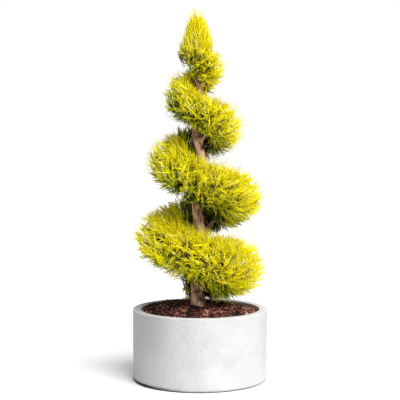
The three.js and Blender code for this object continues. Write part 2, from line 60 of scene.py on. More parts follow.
# The key light comes from the right of the camera, the fill from behind on the left
KEY = {"azimuth": 38, "elevation": 50, "strength": 6.5, "softness": 56}
FILL = {"azimuth": 215, "elevation": 35, "strength": 0.45, "softness": 80}
SKY_LIGHT = 0.42
FLOOR_SIZE = 30000

# The trunk, the coil, the boughs and the tip: the source's dimensions, then what the bark and shoots need
TRUNK = {
    "x": -4.5,
    "top": 1012,
    "foot_radius": 17.6,
    "tip_radius": 5.2,
    "flare": 4.6,
    "flare_height": 28,
    "buttresses": 5,
    "buttress_depth": 0.22,
    "sways": [0, 7, 7.5, 8.5, 8, 3.5, 6, 4.5],  # how far it bends away from each lobe, from the top
    "bend_start": 0.1,  # share of the height over which it begins to bend
    "taper_power": 1.8,
    "in_soil": 14,
    "rings": 420,
    "columns": 84,
    "relief": 1.3,  # height of the bark's ridges
}
COIL = {
    "heights": [988, 934, 850, 761, 655, 548, 430, 338, 278],
    "reaches": [57, 76, 101, 131, 149, 188, 187, 194, 178],
    "half_heights": [33, 48, 58, 62, 67, 77, 74, 84, 82],
    "start": 0.14,
    "end": 7.62,
    "masses": 13,
    "flatter": 0.08,  # how much lower its sections are in front and behind
    "inner_top": 8.5,  # how near its sections come to the axis, at the top and at the foot
    "inner_foot": 21,
    "end_taper": 0.35,
    "end_loss": 0.5,
}
BOUGH = {
    "entry": 0.42,
    "below": 1.03,  # how far under the mass's middle its tip is, in the section
    "rise": 0.95,
    "least_rise": 0.5,
    "lowest_root": 36,
    "arch": 0.1,
    "root_radius": 0.075,
    "tip_share": 0.62,
    "collar": 0.5,  # how much thicker it is where it leaves the trunk, as a share
    "collar_length": 9,
    "rings": 60,
    "columns": 20,
    "relief": 0.25,
    "shaded": 0.1,  # the top one, and each lower one by a little more
    "more_shaded": 0.06,
}
TIP = {
    "top": 1104,
    "bottom": 962,
    "radius": 54,
    "fullest": 990,
    "fullness": 0.55,
    "drawn_in": 0.4,  # below its fullest height
    "offset": -5,
    "slope": 0.3,
    "plane_height": 991,
    "core_top": 1068,
    "plumes": 330,
    "highest": 1.36,  # its last plume, in heights of the core
    "crowding": 1.15,  # power over 1: plumes stand closer low down
    "length": 40,
    "slimmer": 0.85,
    "first_rise": 0.75,  # how much further up its plumes point, at its foot and more so towards its point
    "rise": 1.5,
    "wisps": 0.45,
}

# How far over the parting plane the coil's plumes may reach, and up to where the tip's get painted shade
PARTING = {"coil": 12, "tip": 6}
# Spacings are given for a section of this half height, and shrink with the section
FULL_SIZE = 80
# How shoots grow: along the surface, up to the light and away from the trunk, and off it by a slope. The
# coil's plumes then rise a little more, off the surface and up.
GROWTH = {
    "upward": 0.5,
    "outward": 0.8,
    "spread": 0.6,
    "low_slope": 0.5,
    "high_slope": 1.2,
    "more_outward": 0.3,
    "more_upward": 0.15,
}
# The side that gets most light grows golden shoots, the others greener, more mixed; partly painted light
SUNNY = {"way": (0.5, -0.3, 0.81), "least": 0.2, "most": 0.93, "power": 0.8, "mixed": 0.05,
         "mixed_shade": 0.34}
# A plume is a stem with side shoots on it and a shoot at its end
PLUME = {
    "spacing": 15.2,  # between the tips of plumes
    "least_spacing": 0.72,  # share of it that doesn't shrink with the section
    "outer": 0.35,  # where in the section's half width the rows are counted
    "astray": 0.42,  # chance shift, in spacings
    "length": 0.8,  # of the section's half height
    "longest": 60,
    "uneven": 0.2,
    "nearest": 0.93,  # where its tip ends, in the section
    "farthest": 1.16,
    "corner": 0.2,  # how much further the ones that face the trunk reach, up and down
    "close_until": 1.2,  # down to this half turn they all stay, reach twice that, and hide the trunk
    "veil": 0.5,  # how much lower they hang in front of the trunk's top
    "veil_middle": 0.75,
    "veil_width": 0.25,
    "facing_trunk": 0.4,  # share kept where they face the trunk
    "facing_from": -0.5,  # cosine in the section beyond which they do
    "facing_length": 0.6,
    "side_shoots": 6,
    "first": 0.3,  # where the lowest side shoot leaves the stem
    "last": 0.96,
    "fork_low": 0.48,  # angle between a side shoot and the stem, in radians
    "fork_high": 0.3,
    "fork_uneven": 0.08,
    "stem_radius": 0.7,
    "flat": 0.75,
    "lighter_upwards": 0.2,
    "end_lighter": 0.08,
    "stem_darker": 0.15,
    "mixed": 0.05,
    "clear": 2.5,  # between its shoots and a limb
    "above_mulch": 5,
    "stem_clear": 1.5,
}
# Single long shoots that stand out of the clipped surface
WISP = {
    "share": 0.7,
    "facing_from": -0.3,
    "nearest": 1.1,
    "farthest": 1.33,
    "length": 54,
    "girth": 1.0,
    "astray": 0.2,
    "whorls": 2,
    "lighter": 0.2,
    "dimmest": 0.35,
}
SHOOT = {
    "longest": 0.52,  # the lowest side shoot, of the plume's length
    "shortest": 0.28,
    "end": 0.38,
    "girth": 1.75,  # from its middle to its needles' tips
    "core": 0.36,  # radius of its stem, of the girth
    "core_taper": 0.75,
    "taper": 0.5,
    "reach": 1.6,  # how far a needle points forward, in whorl steps
    "uneven": 0.3,
    "top": 0.78,  # where its last whorl sits
    "twist": 0.9,
    "curl": 0.05,  # how far it turns up by its end, of its length
    "side_whorls": 2,
    "end_whorls": 3,
    # A painted highlight, carried by this share of shoots
    "painted_highlight": 0.1,  # share of shoots that are pale
}
# Short dark shoots inside the masses, partly painted shade, which close the view through them
INNER = {
    "spacing": 20,
    "least_spacing": 0.6,
    "denser": 1.4,
    "depth": 0.7,  # where in the section they are counted
    "nearest": 0.5,
    "farthest": 0.92,
    "towards_light": 0.4,  # how much further out they are where it is light
    "length": 0.5,
    "girth": 3.4,
    "astray": 0.45,
    "whorls": 2,
    "darker": 0.56,
    "clear": 5,
    "lowest": 240,
    "hidden_until": 3,  # half turns down to which the ones that face the trunk lose the first share of light
    "hidden_above": 0.15,
    "hidden_below": 0.4,
}
# Where a coil's plume has more light than the way it faces tells, or less: the amount, the ramps that say
# where, each from none at its first value to all at its second, and what chance multiplies it by
LIGHT_TERMS = [
    (0.1, [("right", 0, 1)], None),  # where it faces right
    (0.12, [("turn", 1.7, 1.2)], None),  # the top turn stands free
    (-0.16, [("up", 0, -1), ("from_third", 1.4, 0.4)], None),  # the third turn's underside
    (0.08, [("turn", 5.2, 6.2)], None),  # the lowest turn, and more so on its left
    (0.12, [("turn", 5.2, 6.2), ("x", 0, -100)], None),
    (0.14, [("x", 20, 100), ("up", 0.5, -0.5)], None),  # undersides on the right
    # behind the trunk and left of it, and more so lower down
    (-0.5, [("lower", 0, 1), ("x", 15.5, -4.5), ("x", -75, -40), ("y", 0, 40)], None),
    (-0.3, [("turn", 3.2, 4.2), ("x", 15.5, -4.5), ("x", -75, -40), ("y", 0, 40)], None),
    (-1, [("z", 310, 270), ("from_foot", 90, 40)], (-0.1, 0.9)),  # round the trunk's foot
    (-0.22, [("y", 15, 85), ("x", 40, -20)], (-0.6, 2.2)),  # behind, on the left
]
LIGHT = {
    "proud": 0.5,  # more by how far a tip stands out
    "veil": 0.3,
    "third_turn": 4.4,  # where it is, in half turns
    "foot_x": 25,
    "lower_from": 1.2,
    "facing": (-0.125, -0.75),  # cosines in the section from which, and by which, a plume faces the trunk
    "facing_loss": 0.75,
    "upper_until": 3.4,  # half turns down to which it loses less of it
    "upper_share": 0.5,
    "upper_right": 0.4,  # and less still on the right, which gets some back
    "right_gain": 0.34,
    "right_by": 30,
    "least_outside": 0.2,
}
# Plumes beside and in front of the trunk: how many, their mass, the box that their tips are spread over,
# from the trunk's line, their length, the way they grow, how much light they get, and their shoots' girth
STRANDS = [
    (10, 12, (62, 100), (-60, -10), (232, 260), 50, (0.6, -0.1, -0.6), (0.35, 0.8), 1.4),
    (12, 12, (34, 62), (-50, 0), (236, 276), 40, (0.25, -0.2, -0.85), (0.3, 0.8), 1.4),
    (14, 12, (20, 44), (-46, -20), (262, 305), 34, (0.5, -0.5, -0.35), (0.4, 0.8), 1.5),
    (56, 12, (24, 88), (10, 70), (238, 300), 56, (0.4, 0.1, -0.7), (0.0, 0.06), 2.8),
    (14, 12, (-50, -32), (-12, 30), (236, 290), 40, (-0.7, -0.2, -0.4), (0.55, 0.85), 1.4),
    (16, 12, (-30, -22), (0, 40), (234, 296), 54, (0.1, 0.1, -0.9), (0.0, 0.1), 2.2),
    (50, 1, (8, 52), (-68, -40), (884, 960), 36, (0.3, -0.8, 0.0), (0.65, 1.0), 1.6),
    (14, 1, (-8, 10), (-60, -30), (910, 952), 30, (-0.2, -0.8, -0.2), (0.4, 0.9), 1.4),
    (50, 1, (-38, -8), (-54, -8), (910, 964), 30, (-0.4, -0.4, 0.2), (0.15, 0.95), 1.3),
    (24, 6, (-66, -32), (20, 56), (736, 770), 36, (-0.3, 0.1, 0.9), (0.15, 0.55), 1.5),
    (36, 7, (-26, 30), (-150, -100), (580, 640), 44, (0.3, -0.5, 0.6), (0.6, 0.95), 1.4),
]
STRAND_ASTRAY = 0.22
TWIG = {
    "stem": [0.046, 0.044, 0.04, 0.03, 0.018],  # radii of a mass's stem, of its half height
    "stem_sides": 6,
    "from_end": 0.03,  # half turns that it stops short of the mass's ends
    "behind": 0.06,  # half turns that a twig starts behind its plume
    "radii": [1.5, 1.1, 0.75],
    "bend": 0.06,
    "clear": 1.6,
}
# How far down the shade of each turn reaches on the trunk, from the top turn on, and how dark it is
UNDER_TURN = {"reach": (62, 62, 62, 84), "underside": 0.95, "inside": 60, "most": 0.75, "end_fade": 0.3}
# Painted shade on the left of the trunk's foot: none above the top, all of it below full_below
LEFT_FOOT = {"top": 320, "full_below": 280, "most": 0.25}
PLANTER = {
    "rim": 202,
    "height": 214,
    "draft": 1,
    "wall": 24,
    "floor": 30,
    "edge": 1.6,  # radius of the rim's edges
    "bevel": (1.5, 2),  # of the foot's edge, in and up
    "groove": 9,  # width of the shallow groove under the foot's edge
    "lift": 4.2,  # and its height
    "pole": 0.5,  # radius of the rings that flat faces close
    "columns": 240,
    "waves": 0.35,
    "wave_length": 160,
}
# The mulch: the source's mound, sunk to leave room for hummocks and chips, and more so on the right
SOIL = {
    "edge": 177.7,
    "edge_height": 205,
    "top": 227,
    "level": 32,
    "fullness": 0.6,
    "lean": 0.14,
    "lean_at_wall": 0.1,
    "sunk": 6.5,
    "sunk_right": 4,
    "right": (60, 150),
    "hummocks": 2.4,
    "hummock_length": 40,
    "rows": 60,
    "columns": 150,
}
CHIP = {
    "count": 5200,
    "corners": 6,
    "length": (5, 15.5),
    "width": (0.3, 0.6),  # of its length
    "thickness": (1.6, 5),
    "height": (-1, 3.5),  # over the mound
    "astray": 0.45,
    "ragged": (0.7, 1.15),
    "rings": [(-0.5, 0.85), (0.2, 1.0), (0.5, 0.72)],  # height, of its thickness, and size
    "wider": 1.25,
    "patches": 62,  # size of the lighter and darker patches they lie in
    "steps": [-0.55, 0.1, 0.8, 1.6],  # between the shades, from the darkest
    "shades": ["#0C0503", "#321710", "#5E3025", "#8D5A4A", "#AC8A7D"],
}


def linear(hex_colour):
    """Linear RGBA of an sRGB hex colour."""
    parts = [int(hex_colour[i : i + 2], 16) / 255 for i in (1, 3, 5)]
    return [p / 12.92 if p <= 0.04045 else ((p + 0.055) / 1.055) ** 2.4 for p in parts] + [1.0]


def pattern(size):
    """The scale of a texture whose pattern is to be a size in millimetres, on coordinates in metres."""
    return 1 / (size * MM)


def node(tree, kind, inputs=(), stops=(), **settings):
    """Adds a node to a tree, with its settings, its sockets' values or links, and a ramp's stops. A node
    given as a value stands for its first output, and a stop's shade is a hex colour or a share of white."""
    made = tree.nodes.new(kind)
    for name, value in settings.items():
        setattr(made, name, value)
    for socket, value in dict(inputs).items():
        value = value.outputs[0] if isinstance(value, bpy.types.Node) else value
        if isinstance(value, bpy.types.NodeSocket):
            tree.links.new(value, made.inputs[socket])
        else:
            made.inputs[socket].default_value = value
    for i, (place, shade) in enumerate(stops):
        elements = made.color_ramp.elements
        stop = elements[i] if i < len(elements) else elements.new(place)
        stop.position = place
        stop.color = linear(shade) if isinstance(shade, str) else (shade, shade, shade, 1)
    return made


def material(name, **inputs):
    """A material with one Principled shader; its plain inputs are named with underscores for spaces."""
    made = bpy.data.materials.new(name)
    made.use_nodes = True
    shader = made.node_tree.nodes["Principled BSDF"]
    for key, value in inputs.items():
        shader.inputs[key.replace("_", " ")].default_value = value
    return made, made.node_tree, shader


def unit(v):
    return v / np.linalg.norm(v, axis=-1, keepdims=True)


def dot(a, b):
    return np.sum(a * b, axis=-1, keepdims=True)


def ramp(value, start, end):
    """0 where a value hasn't come to the start, 1 where it has come to the end, and evenly between."""
    return np.clip((value - start) / (end - start), 0, 1)


def polar(radius, angle, z):
    """Points at a radius and an angle round +Z."""
    return np.stack([radius * np.cos(angle), radius * np.sin(angle), z], -1)


def turned(side, other, angle):
    """The ways at angles from one way towards another that is at right angles to it."""
    return side[..., None, :] * np.cos(angle)[..., None] + other[..., None, :] * np.sin(angle)[..., None]


def linked(name, data):
    """A new object with its data, in the scene."""
    made = bpy.data.objects.new(name, data)
    bpy.context.scene.collection.objects.link(made)
    return made


def piece(name, points, faces, materials, dealt=None, smooth=False, replaced=()):
    """A mesh in metres from points in millimetres and faces of equally many corners; dealt gives each
    face's material."""
    faces = np.asarray(faces, np.int32)
    mesh = bpy.data.meshes.new(name)
    mesh.vertices.add(len(points))
    mesh.vertices.foreach_set("co", (np.asarray(points) * MM).astype(np.float32).ravel())
    mesh.loops.add(faces.size)
    mesh.loops.foreach_set("vertex_index", faces.ravel())
    mesh.polygons.add(len(faces))
    mesh.polygons.foreach_set("loop_start", np.arange(len(faces), dtype=np.int32) * faces.shape[1])
    for m in materials:
        mesh.materials.append(m)
    if dealt is not None:
        mesh.polygons.foreach_set("material_index", np.asarray(dealt, np.int32))
    mesh.polygons.foreach_set("use_smooth", np.full(len(faces), smooth))
    mesh.update(calc_edges=True)
    made = linked(name, mesh)
    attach(made, "root")
    if replaced:
        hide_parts(*replaced)
    return made


def grid_faces(rows, columns, close_first=False, close_last=False):
    """The quads of a grid of points whose columns close into a ring; rows run so that the faces point
    outwards. Quads across the first ring and the last close them where that is asked."""
    i, k = np.meshgrid(np.arange(rows - 1), np.arange(columns), indexing="ij")
    a = i * columns + k
    b = i * columns + (k + 1) % columns
    quads = [np.stack([a, b, b + columns, a + columns], -1).reshape(-1, 4)]
    k = np.arange(columns // 2 - 1)
    across = np.stack([k, k + 1, columns - 2 - k, columns - 1 - k], -1)
    if close_first:
        quads.append(across[:, ::-1])
    if close_last:
        quads.append(across + (rows - 1) * columns)
    return np.concatenate(quads)


def rolling(points, size, seed, octaves=4):
    """Smooth chance values from about -1 to 1 at points: a sum of sine waves that cross in chance
    directions, each octave half as long and half as high as the one before."""
    random = np.random.default_rng(seed)
    total = np.zeros(points.shape[:-1])
    waves = 5
    for octave in range(octaves):
        for _ in range(waves):
            way = unit(random.normal(size=3)) * (2 * math.pi * 2**octave / size)
            total += np.sin(points @ way + random.uniform(0, 2 * math.pi)) / (0.6 * waves * 2**octave)
    return total


def along(values, s):
    """A smooth curve through evenly spaced values: on each span the cubic whose slope at either end is half
    the difference of that end's neighbours (Catmull-Rom)."""
    values = np.asarray(values, float)
    last = len(values) - 1
    i = np.clip(np.floor(s).astype(int), 0, last - 1)
    t = s - i
    a = np.where(i == 0, 2 * values[0] - values[1], values[np.maximum(i - 1, 0)])
    b, c, d = values[i], values[i + 1], values[np.minimum(i + 2, last)]
    return 0.5 * (2 * b + (c - a) * t + (2 * a - 5 * b + 4 * c - d) * t**2 + (3 * b - a - 3 * c + d) * t**3)


# The trunk's axis and radius at a height, and the coil's sections
TRUNK_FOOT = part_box("trunk")[0][2] / MM
PLACES = np.linspace(0, len(COIL["heights"]) - 1, 801)
HEIGHTS = along(COIL["heights"], PLACES)


def height_share(z):
    return ramp(z, TRUNK_FOOT, TRUNK["top"])


def trunk_axis(z):
    """The upright line of the coil, moved away from the lobe at that height by the lobe's own sway, which
    begins at the foot as a quarter of a sine."""
    z = np.asarray(z, float)
    place = np.minimum(np.interp(z, HEIGHTS[::-1], PLACES[::-1]), len(TRUNK["sways"]) - 1)
    begun = np.sin(math.pi / 2 * np.minimum(1, height_share(z) / TRUNK["bend_start"]))
    bend = begun * along(TRUNK["sways"], place)
    turn = math.pi * (place - 1)
    return np.stack([TRUNK["x"] - bend * np.cos(turn), -bend * np.sin(turn), z], -1)


def trunk_radius(z):
    """It falls from the foot's to the tip's by a power of the share of the height."""
    share = height_share(z) ** TRUNK["taper_power"]
    return TRUNK["foot_radius"] + (TRUNK["tip_radius"] - TRUNK["foot_radius"]) * share


def section(s):
    """The coil's sections at s half turns: upright ellipses that face away from the coil's axis."""
    s = np.asarray(s, float)
    turn = math.pi * (s - 1)
    nought = np.zeros_like(turn)
    reach = along(COIL["reaches"], s)
    inner = COIL["inner_top"] + (COIL["inner_foot"] - COIL["inner_top"]) * s / COIL["end"]
    from_end = np.clip((COIL["end"] - s) / COIL["end_taper"], 0, 1)
    taper = np.sqrt(1 - COIL["end_loss"] * (1 - from_end) ** 2)
    size = taper * along(COIL["half_heights"], s)
    half_height = size * (1 - COIL["flatter"] * np.sin(turn) ** 2)
    half_width = taper * (reach - inner) / 2
    away = polar(1, turn, nought)
    middle = np.stack([nought + TRUNK["x"], nought, along(COIL["heights"], s)], -1)
    return {
        "away": away,
        "centre": middle + away * ((inner + reach) / 2)[..., None],
        "half_width": half_width[..., None],
        "half_height": half_height[..., None],
        "size": size[..., None],
    }


def on_section(sec, angle, share):
    """A point of the section's ellipse at an angle, at a share of its size."""
    across = (share * np.cos(angle))[..., None] * sec["half_width"]
    upright = (share * np.sin(angle))[..., None] * sec["half_height"]
    return sec["centre"] + across * sec["away"] + upright * UP


def out_of_section(sec, angle):
    """The way out of the ellipse: its gradient."""
    across = np.cos(angle)[..., None] / sec["half_width"]
    upright = np.sin(angle)[..., None] / sec["half_height"]
    return unit(across * sec["away"] + upright * UP)


# Where each mass of the coil lies, and the bough that carries it from the trunk
STEP = (COIL["end"] - COIL["start"]) / COIL["masses"]


def mass_middle(number):
    """Where a mass starts, the section in its middle, that section's half height, and how far out it is."""
    start = COIL["start"] + number * STEP
    middle = section(start + STEP / 2)
    radius = np.hypot(*(middle["centre"] - [TRUNK["x"], 0, 0])[:2])
    return start, middle, float(middle["size"][0]), radius


def bough_line(number, rings):
    """The bough of a mass: a straight line from the trunk's axis to the underside of the mass, bowed
    upwards by a sine, with a radius that falls evenly."""
    middle = section(COIL["start"] + (number + 0.5) * STEP)
    across = BOUGH["entry"] - 1
    under = BOUGH["below"] * math.sqrt(1 - across**2)
    aside = across * middle["half_width"] * middle["away"]
    tip = middle["centre"] + aside - under * middle["half_height"] * UP
    outwards = np.hypot(*(tip - trunk_axis(tip[2]))[:2])
    root_height = max(tip[2] - BOUGH["rise"] * outwards, TRUNK_FOOT + BOUGH["lowest_root"])
    tip[2] = max(tip[2], root_height + BOUGH["least_rise"] * outwards)
    root = trunk_axis(root_height)
    t = np.linspace(0, 1, rings)[:, None]
    length = np.linalg.norm(tip - root)
    points = root + (tip - root) * t + BOUGH["arch"] * length * np.sin(math.pi * t) * UP
    radii = BOUGH["root_radius"] * middle["size"] * (1 - (1 - BOUGH["tip_share"]) * t)
    return points, radii[:, 0]


BOUGHS = [bough_line(number, 4) for number in range(COIL["masses"])]


def clear_of_limbs(points, margin):
    """True where a point keeps a margin to the trunk and to every bough."""
    axis = trunk_axis(points[..., 2])
    aside = np.hypot(points[..., 0] - axis[..., 0], points[..., 1] - axis[..., 1])
    clear = (aside > trunk_radius(points[..., 2]) + margin) | (points[..., 2] > TRUNK["top"] + margin)
    for line, radii in BOUGHS:
        for start, end, radius in zip(line, line[1:], radii):
            t = np.clip(dot(points - start, end - start) / dot(end - start, end - start), 0, 1)
            clear &= np.linalg.norm(points - start - t * (end - start), axis=-1) > radius + margin
    return clear


# Twigs and shoots
def limb_template(rings, sides):
    """Corner numbers of a limb's faces: rings of points joined by triangles, with both ends closed."""
    quads = grid_faces(rings, sides)
    faces = np.concatenate([quads[:, [0, 1, 2]], quads[:, [0, 2, 3]]])
    last = (rings - 1) * sides
    caps = [[[0, k + 1, k], [last, last + k, last + k + 1]] for k in range(1, sides - 1)]
    return np.concatenate([faces, np.array(caps).reshape(-1, 3)])


def repeated(template, count, step):
    """A template's faces for each of many like shapes, whose points follow each other by a step."""
    return (template[None] + (np.arange(count) * step)[:, None, None]).reshape(-1, template.shape[1])


def limbs(lines, radii, sides):
    """Many limbs at once: a ring of points round each point of each line, at right angles to the line's
    way."""
    way = unit(np.gradient(lines, axis=1))
    nearly_up = UP + 1e-3 * np.array([1.0, 0.3, 0.0])
    side = unit(np.cross(nearly_up, way))
    other = np.cross(way, side)
    angle = 2 * math.pi * np.arange(sides) / sides
    points = lines[:, :, None] + radii[:, :, None, None] * turned(side, other, angle)
    rings = lines.shape[1]
    return points.reshape(-1, 3), repeated(limb_template(rings, sides), len(lines), rings * sides)


def shoot_template(whorls):
    """Corner numbers of a shoot's faces, and the whorl that each belongs to: a three-sided stem whose cells
    each carry a needle, then the end's point and the closed foot."""
    faces, level = [], []
    needle, end = 3 * (whorls + 1), 6 * whorls + 3
    for i in range(whorls):
        for k in range(3):
            a, b = 3 * i + k, 3 * i + (k + 1) % 3
            corners = [a, b, b + 3, a + 3]
            top = needle + 3 * i + k
            faces += [[corners[c], corners[(c + 1) % 4], top] for c in range(4)]
            level += [i] * 4
    for k in range(3):
        faces.append([3 * whorls + k, 3 * whorls + (k + 1) % 3, end])
        level.append(whorls)
    faces.append([0, 2, 1])
    level.append(0)
    return np.array(faces), np.array(level)


def shoots(random, root, way, length, girth, tone, whorls):
    """Many shoots at once. A shoot's line leaves its root along its way and turns up by the square of the
    distance. Rings of three points round the line, each turned a little further, make its stem, and each
    cell between two rings carries a needle that leans forward. tone is the foot's, and the upper whorls are
    one lighter."""
    count = len(root)
    side = unit(np.cross(way, unit(random.normal(size=(count, 3)))))
    other = np.cross(way, side)
    lift = unit(UP - dot(way, UP) * way + 1e-6 * side)
    curl = SHOOT["curl"] * length * random.uniform(-0.5, 1.5, count)

    def at(t, radius, angle):
        spot = root[:, None] + way[:, None] * (length[:, None] * t)[..., None]
        spot = spot + lift[:, None] * (curl[:, None] * t**2)[..., None]
        return spot + radius[..., None] * turned(side, other, angle)

    step, uneven = SHOOT["top"] / whorls, SHOOT["uneven"]
    ring = np.repeat(np.arange(whorls + 1), 3)
    corner = np.tile(np.arange(3), whorls + 1)
    t = np.broadcast_to(ring * step, (count, len(ring)))
    turn = np.broadcast_to(2 * math.pi * corner / 3 + SHOOT["twist"] * ring, t.shape)
    stem = at(t, SHOOT["core"] * girth[:, None] * (1 - SHOOT["core_taper"] * t), turn)
    cell, place = np.repeat(np.arange(whorls), 3), np.tile(np.arange(3), whorls)
    t = (cell + SHOOT["reach"]) * step + random.uniform(-uneven, uneven, (count, len(cell))) * step
    turn = 2 * math.pi * (place + 0.5) / 3 + SHOOT["twist"] * (cell + 0.5)
    turn = turn + random.uniform(-uneven, uneven, t.shape)
    spread = girth[:, None] * (1 - SHOOT["taper"] * t) * random.uniform(0.75, 1.2, t.shape)
    needles = at(t, spread, turn)
    end = at(np.ones((count, 1)), np.zeros((count, 1)), np.zeros((count, 1)))
    points = np.concatenate([stem, needles, end], 1)
    template, level = shoot_template(whorls)
    upper = 2 * level // (whorls + 1)
    dealt = np.clip(tone[:, None] + upper[None], 0, TONES - 2)
    # Some shoots that aren't dark get the painted highlight in place of their tone
    painted_highlight = (random.uniform(size=(count, 1)) < SHOOT["painted_highlight"]) & (tone[:, None] > 2)
    dealt = np.where(painted_highlight, TONES - 1, dealt)
    return points.reshape(-1, 3), repeated(template, count, points.shape[1]), dealt.ravel()


def joined(parts):
    """Several meshes as one: points, faces and what each face is dealt."""
    first = np.cumsum([0] + [len(points) for points, _, _ in parts[:-1]])
    return (
        np.concatenate([points for points, _, _ in parts]),
        np.concatenate([faces + start for (_, faces, _), start in zip(parts, first)]),
        np.concatenate([dealt for _, _, dealt in parts]),
    )


def growth(random, outwards, away):
    """The way a shoot grows where the surface faces outwards: flat along the surface towards the light and
    away from the trunk, with a chance lean, then raised off the surface by a chance slope."""
    lean = random.uniform(-GROWTH["spread"], GROWTH["spread"], outwards.shape)
    flat = lean + GROWTH["upward"] * UP + GROWTH["outward"] * away
    flat = unit(flat - dot(flat, outwards) * outwards)
    slope = random.uniform(GROWTH["low_slope"], GROWTH["high_slope"], (len(outwards), 1))
    return flat * np.cos(slope) + outwards * np.sin(slope)


def daylight(random, outwards):
    """How much light the foliage gets where its surface faces outwards, as a share, with a chance part that
    grows towards the shade."""
    facing = 0.5 + 0.5 * outwards @ unit(np.array(SUNNY["way"]))
    share = SUNNY["least"] + (SUNNY["most"] - SUNNY["least"]) * facing ** SUNNY["power"]
    mixed = SUNNY["mixed"] + (SUNNY["mixed_shade"] - SUNNY["mixed"]) * (1 - facing)
    return share + random.normal(0, 1, len(outwards)) * mixed


def tone_of(light):
    """The number of the tone for a share of light, from 0 for the darkest; the last is the painted
    highlight.
    """
    return np.clip(np.floor(light * (TONES - 1)), 0, TONES - 2).astype(int)


def plumes(random, tip, way, length, light, thick):
    """Plumes that end at their tips: a three-sided stem, side shoots round it at the golden angle that get
    shorter and lie closer towards the end, and the end's own shoot. light from 0 to 1 deals the tones."""
    count, number = len(tip), PLUME["side_shoots"]
    root = tip - way * length[:, None]
    across = unit(np.cross(way, unit(random.normal(size=(count, 3)))))
    face = np.cross(way, across)
    share = np.linspace(PLUME["first"], PLUME["last"], number) + random.uniform(-0.03, 0.03, (count, number))
    turn = np.arange(number) * GOLDEN_ANGLE + random.uniform(0, 2 * math.pi, (count, 1))
    aside = turned(across, PLUME["flat"] * face, turn)
    fork = PLUME["fork_low"] + (PLUME["fork_high"] - PLUME["fork_low"]) * share
    fork = (fork + random.uniform(-PLUME["fork_uneven"], PLUME["fork_uneven"], fork.shape))[..., None]
    side_way = unit(way[:, None] * np.cos(fork) + unit(aside) * np.sin(fork))
    end_share = 1 - SHOOT["end"]
    side_root = root[:, None] + way[:, None] * (length[:, None] * end_share * share)[..., None]
    side_length = SHOOT["longest"] + (SHOOT["shortest"] - SHOOT["longest"]) * share
    side_length = length[:, None] * side_length * random.uniform(0.75, 1.2, share.shape)
    side_light = light[:, None] + PLUME["lighter_upwards"] * (share - 0.7)
    side_light = side_light + random.normal(0, PLUME["mixed"], share.shape)
    end_root = root + way * (length * end_share)[:, None]
    end_light = light + PLUME["end_lighter"] + random.normal(0, PLUME["mixed"], count)

    side_tip = side_root + side_way * side_length[..., None]
    kept = clear_of_limbs(np.stack([side_root, side_tip], 2), PLUME["clear"]).all(-1)
    end_kept = clear_of_limbs(np.stack([end_root, tip], 1), PLUME["clear"]).all(-1)
    side_girth = np.broadcast_to(thick[:, None], share.shape)[kept] * random.uniform(0.8, 1.1, kept.sum())
    side_tone = tone_of(side_light[kept])
    end_length = (length * SHOOT["end"])[end_kept] * 1.15
    end_tone = tone_of(end_light[end_kept])
    parts = [
        shoots(random, side_root[kept], side_way[kept], side_length[kept], side_girth, side_tone,
               SHOOT["side_whorls"]),
        shoots(random, end_root[end_kept], way[end_kept], end_length, thick[end_kept], end_tone,
               SHOOT["end_whorls"]),
    ]
    t = np.array([0, 0.55, 1.0])
    stem = root[:, None] + way[:, None] * (length[:, None] * end_share * t)[..., None] * 1.05
    radii = PLUME["stem_radius"] * np.broadcast_to(1 - 0.5 * t, (count, 3))
    free = clear_of_limbs(stem, PLUME["stem_clear"]).all(-1)
    points, faces = limbs(stem[free], radii[free], 3)
    shade = tone_of(light[free] - PLUME["stem_darker"])
    parts.append((points, faces, np.repeat(shade, len(limb_template(3, 3)))))
    return joined(parts), root


def wisps(random, tip, way, light):
    """Single long shoots that end at their tips."""
    length = WISP["length"] * random.uniform(0.7, 1.2, len(tip))
    root = tip - way * length[:, None]
    free = clear_of_limbs(np.stack([root, tip], 1), PLUME["clear"]).all(-1)
    girth = WISP["girth"] * random.uniform(0.8, 1.2, free.sum())
    tone = tone_of(np.maximum(light[free], WISP["dimmest"]) + WISP["lighter"])
    return shoots(random, root[free], way[free], length[free], girth, tone, WISP["whorls"])


# Foliage of the coil
def staggered(random, start, rows, around, astray):
    """Places over a mass of the coil: rows along it and places round each, every other row staggered, each
    place moved by chance. They are told in half turns and as the angle in the section."""
    row, place = [a.ravel() for a in np.meshgrid(np.arange(rows), np.arange(around), indexing="ij")]
    stray = random.uniform(-astray, astray, (2, len(row)))
    s = start + STEP * (row + 0.5 + stray[0]) / rows
    return s, 2 * math.pi * (place + 0.5 * (row % 2) + stray[1]) / around


def shrunk(kind, size):
    """The spacing of plumes or inner shoots in a section of a size."""
    return kind["spacing"] * (kind["least_spacing"] + (1 - kind["least_spacing"]) * size / FULL_SIZE)


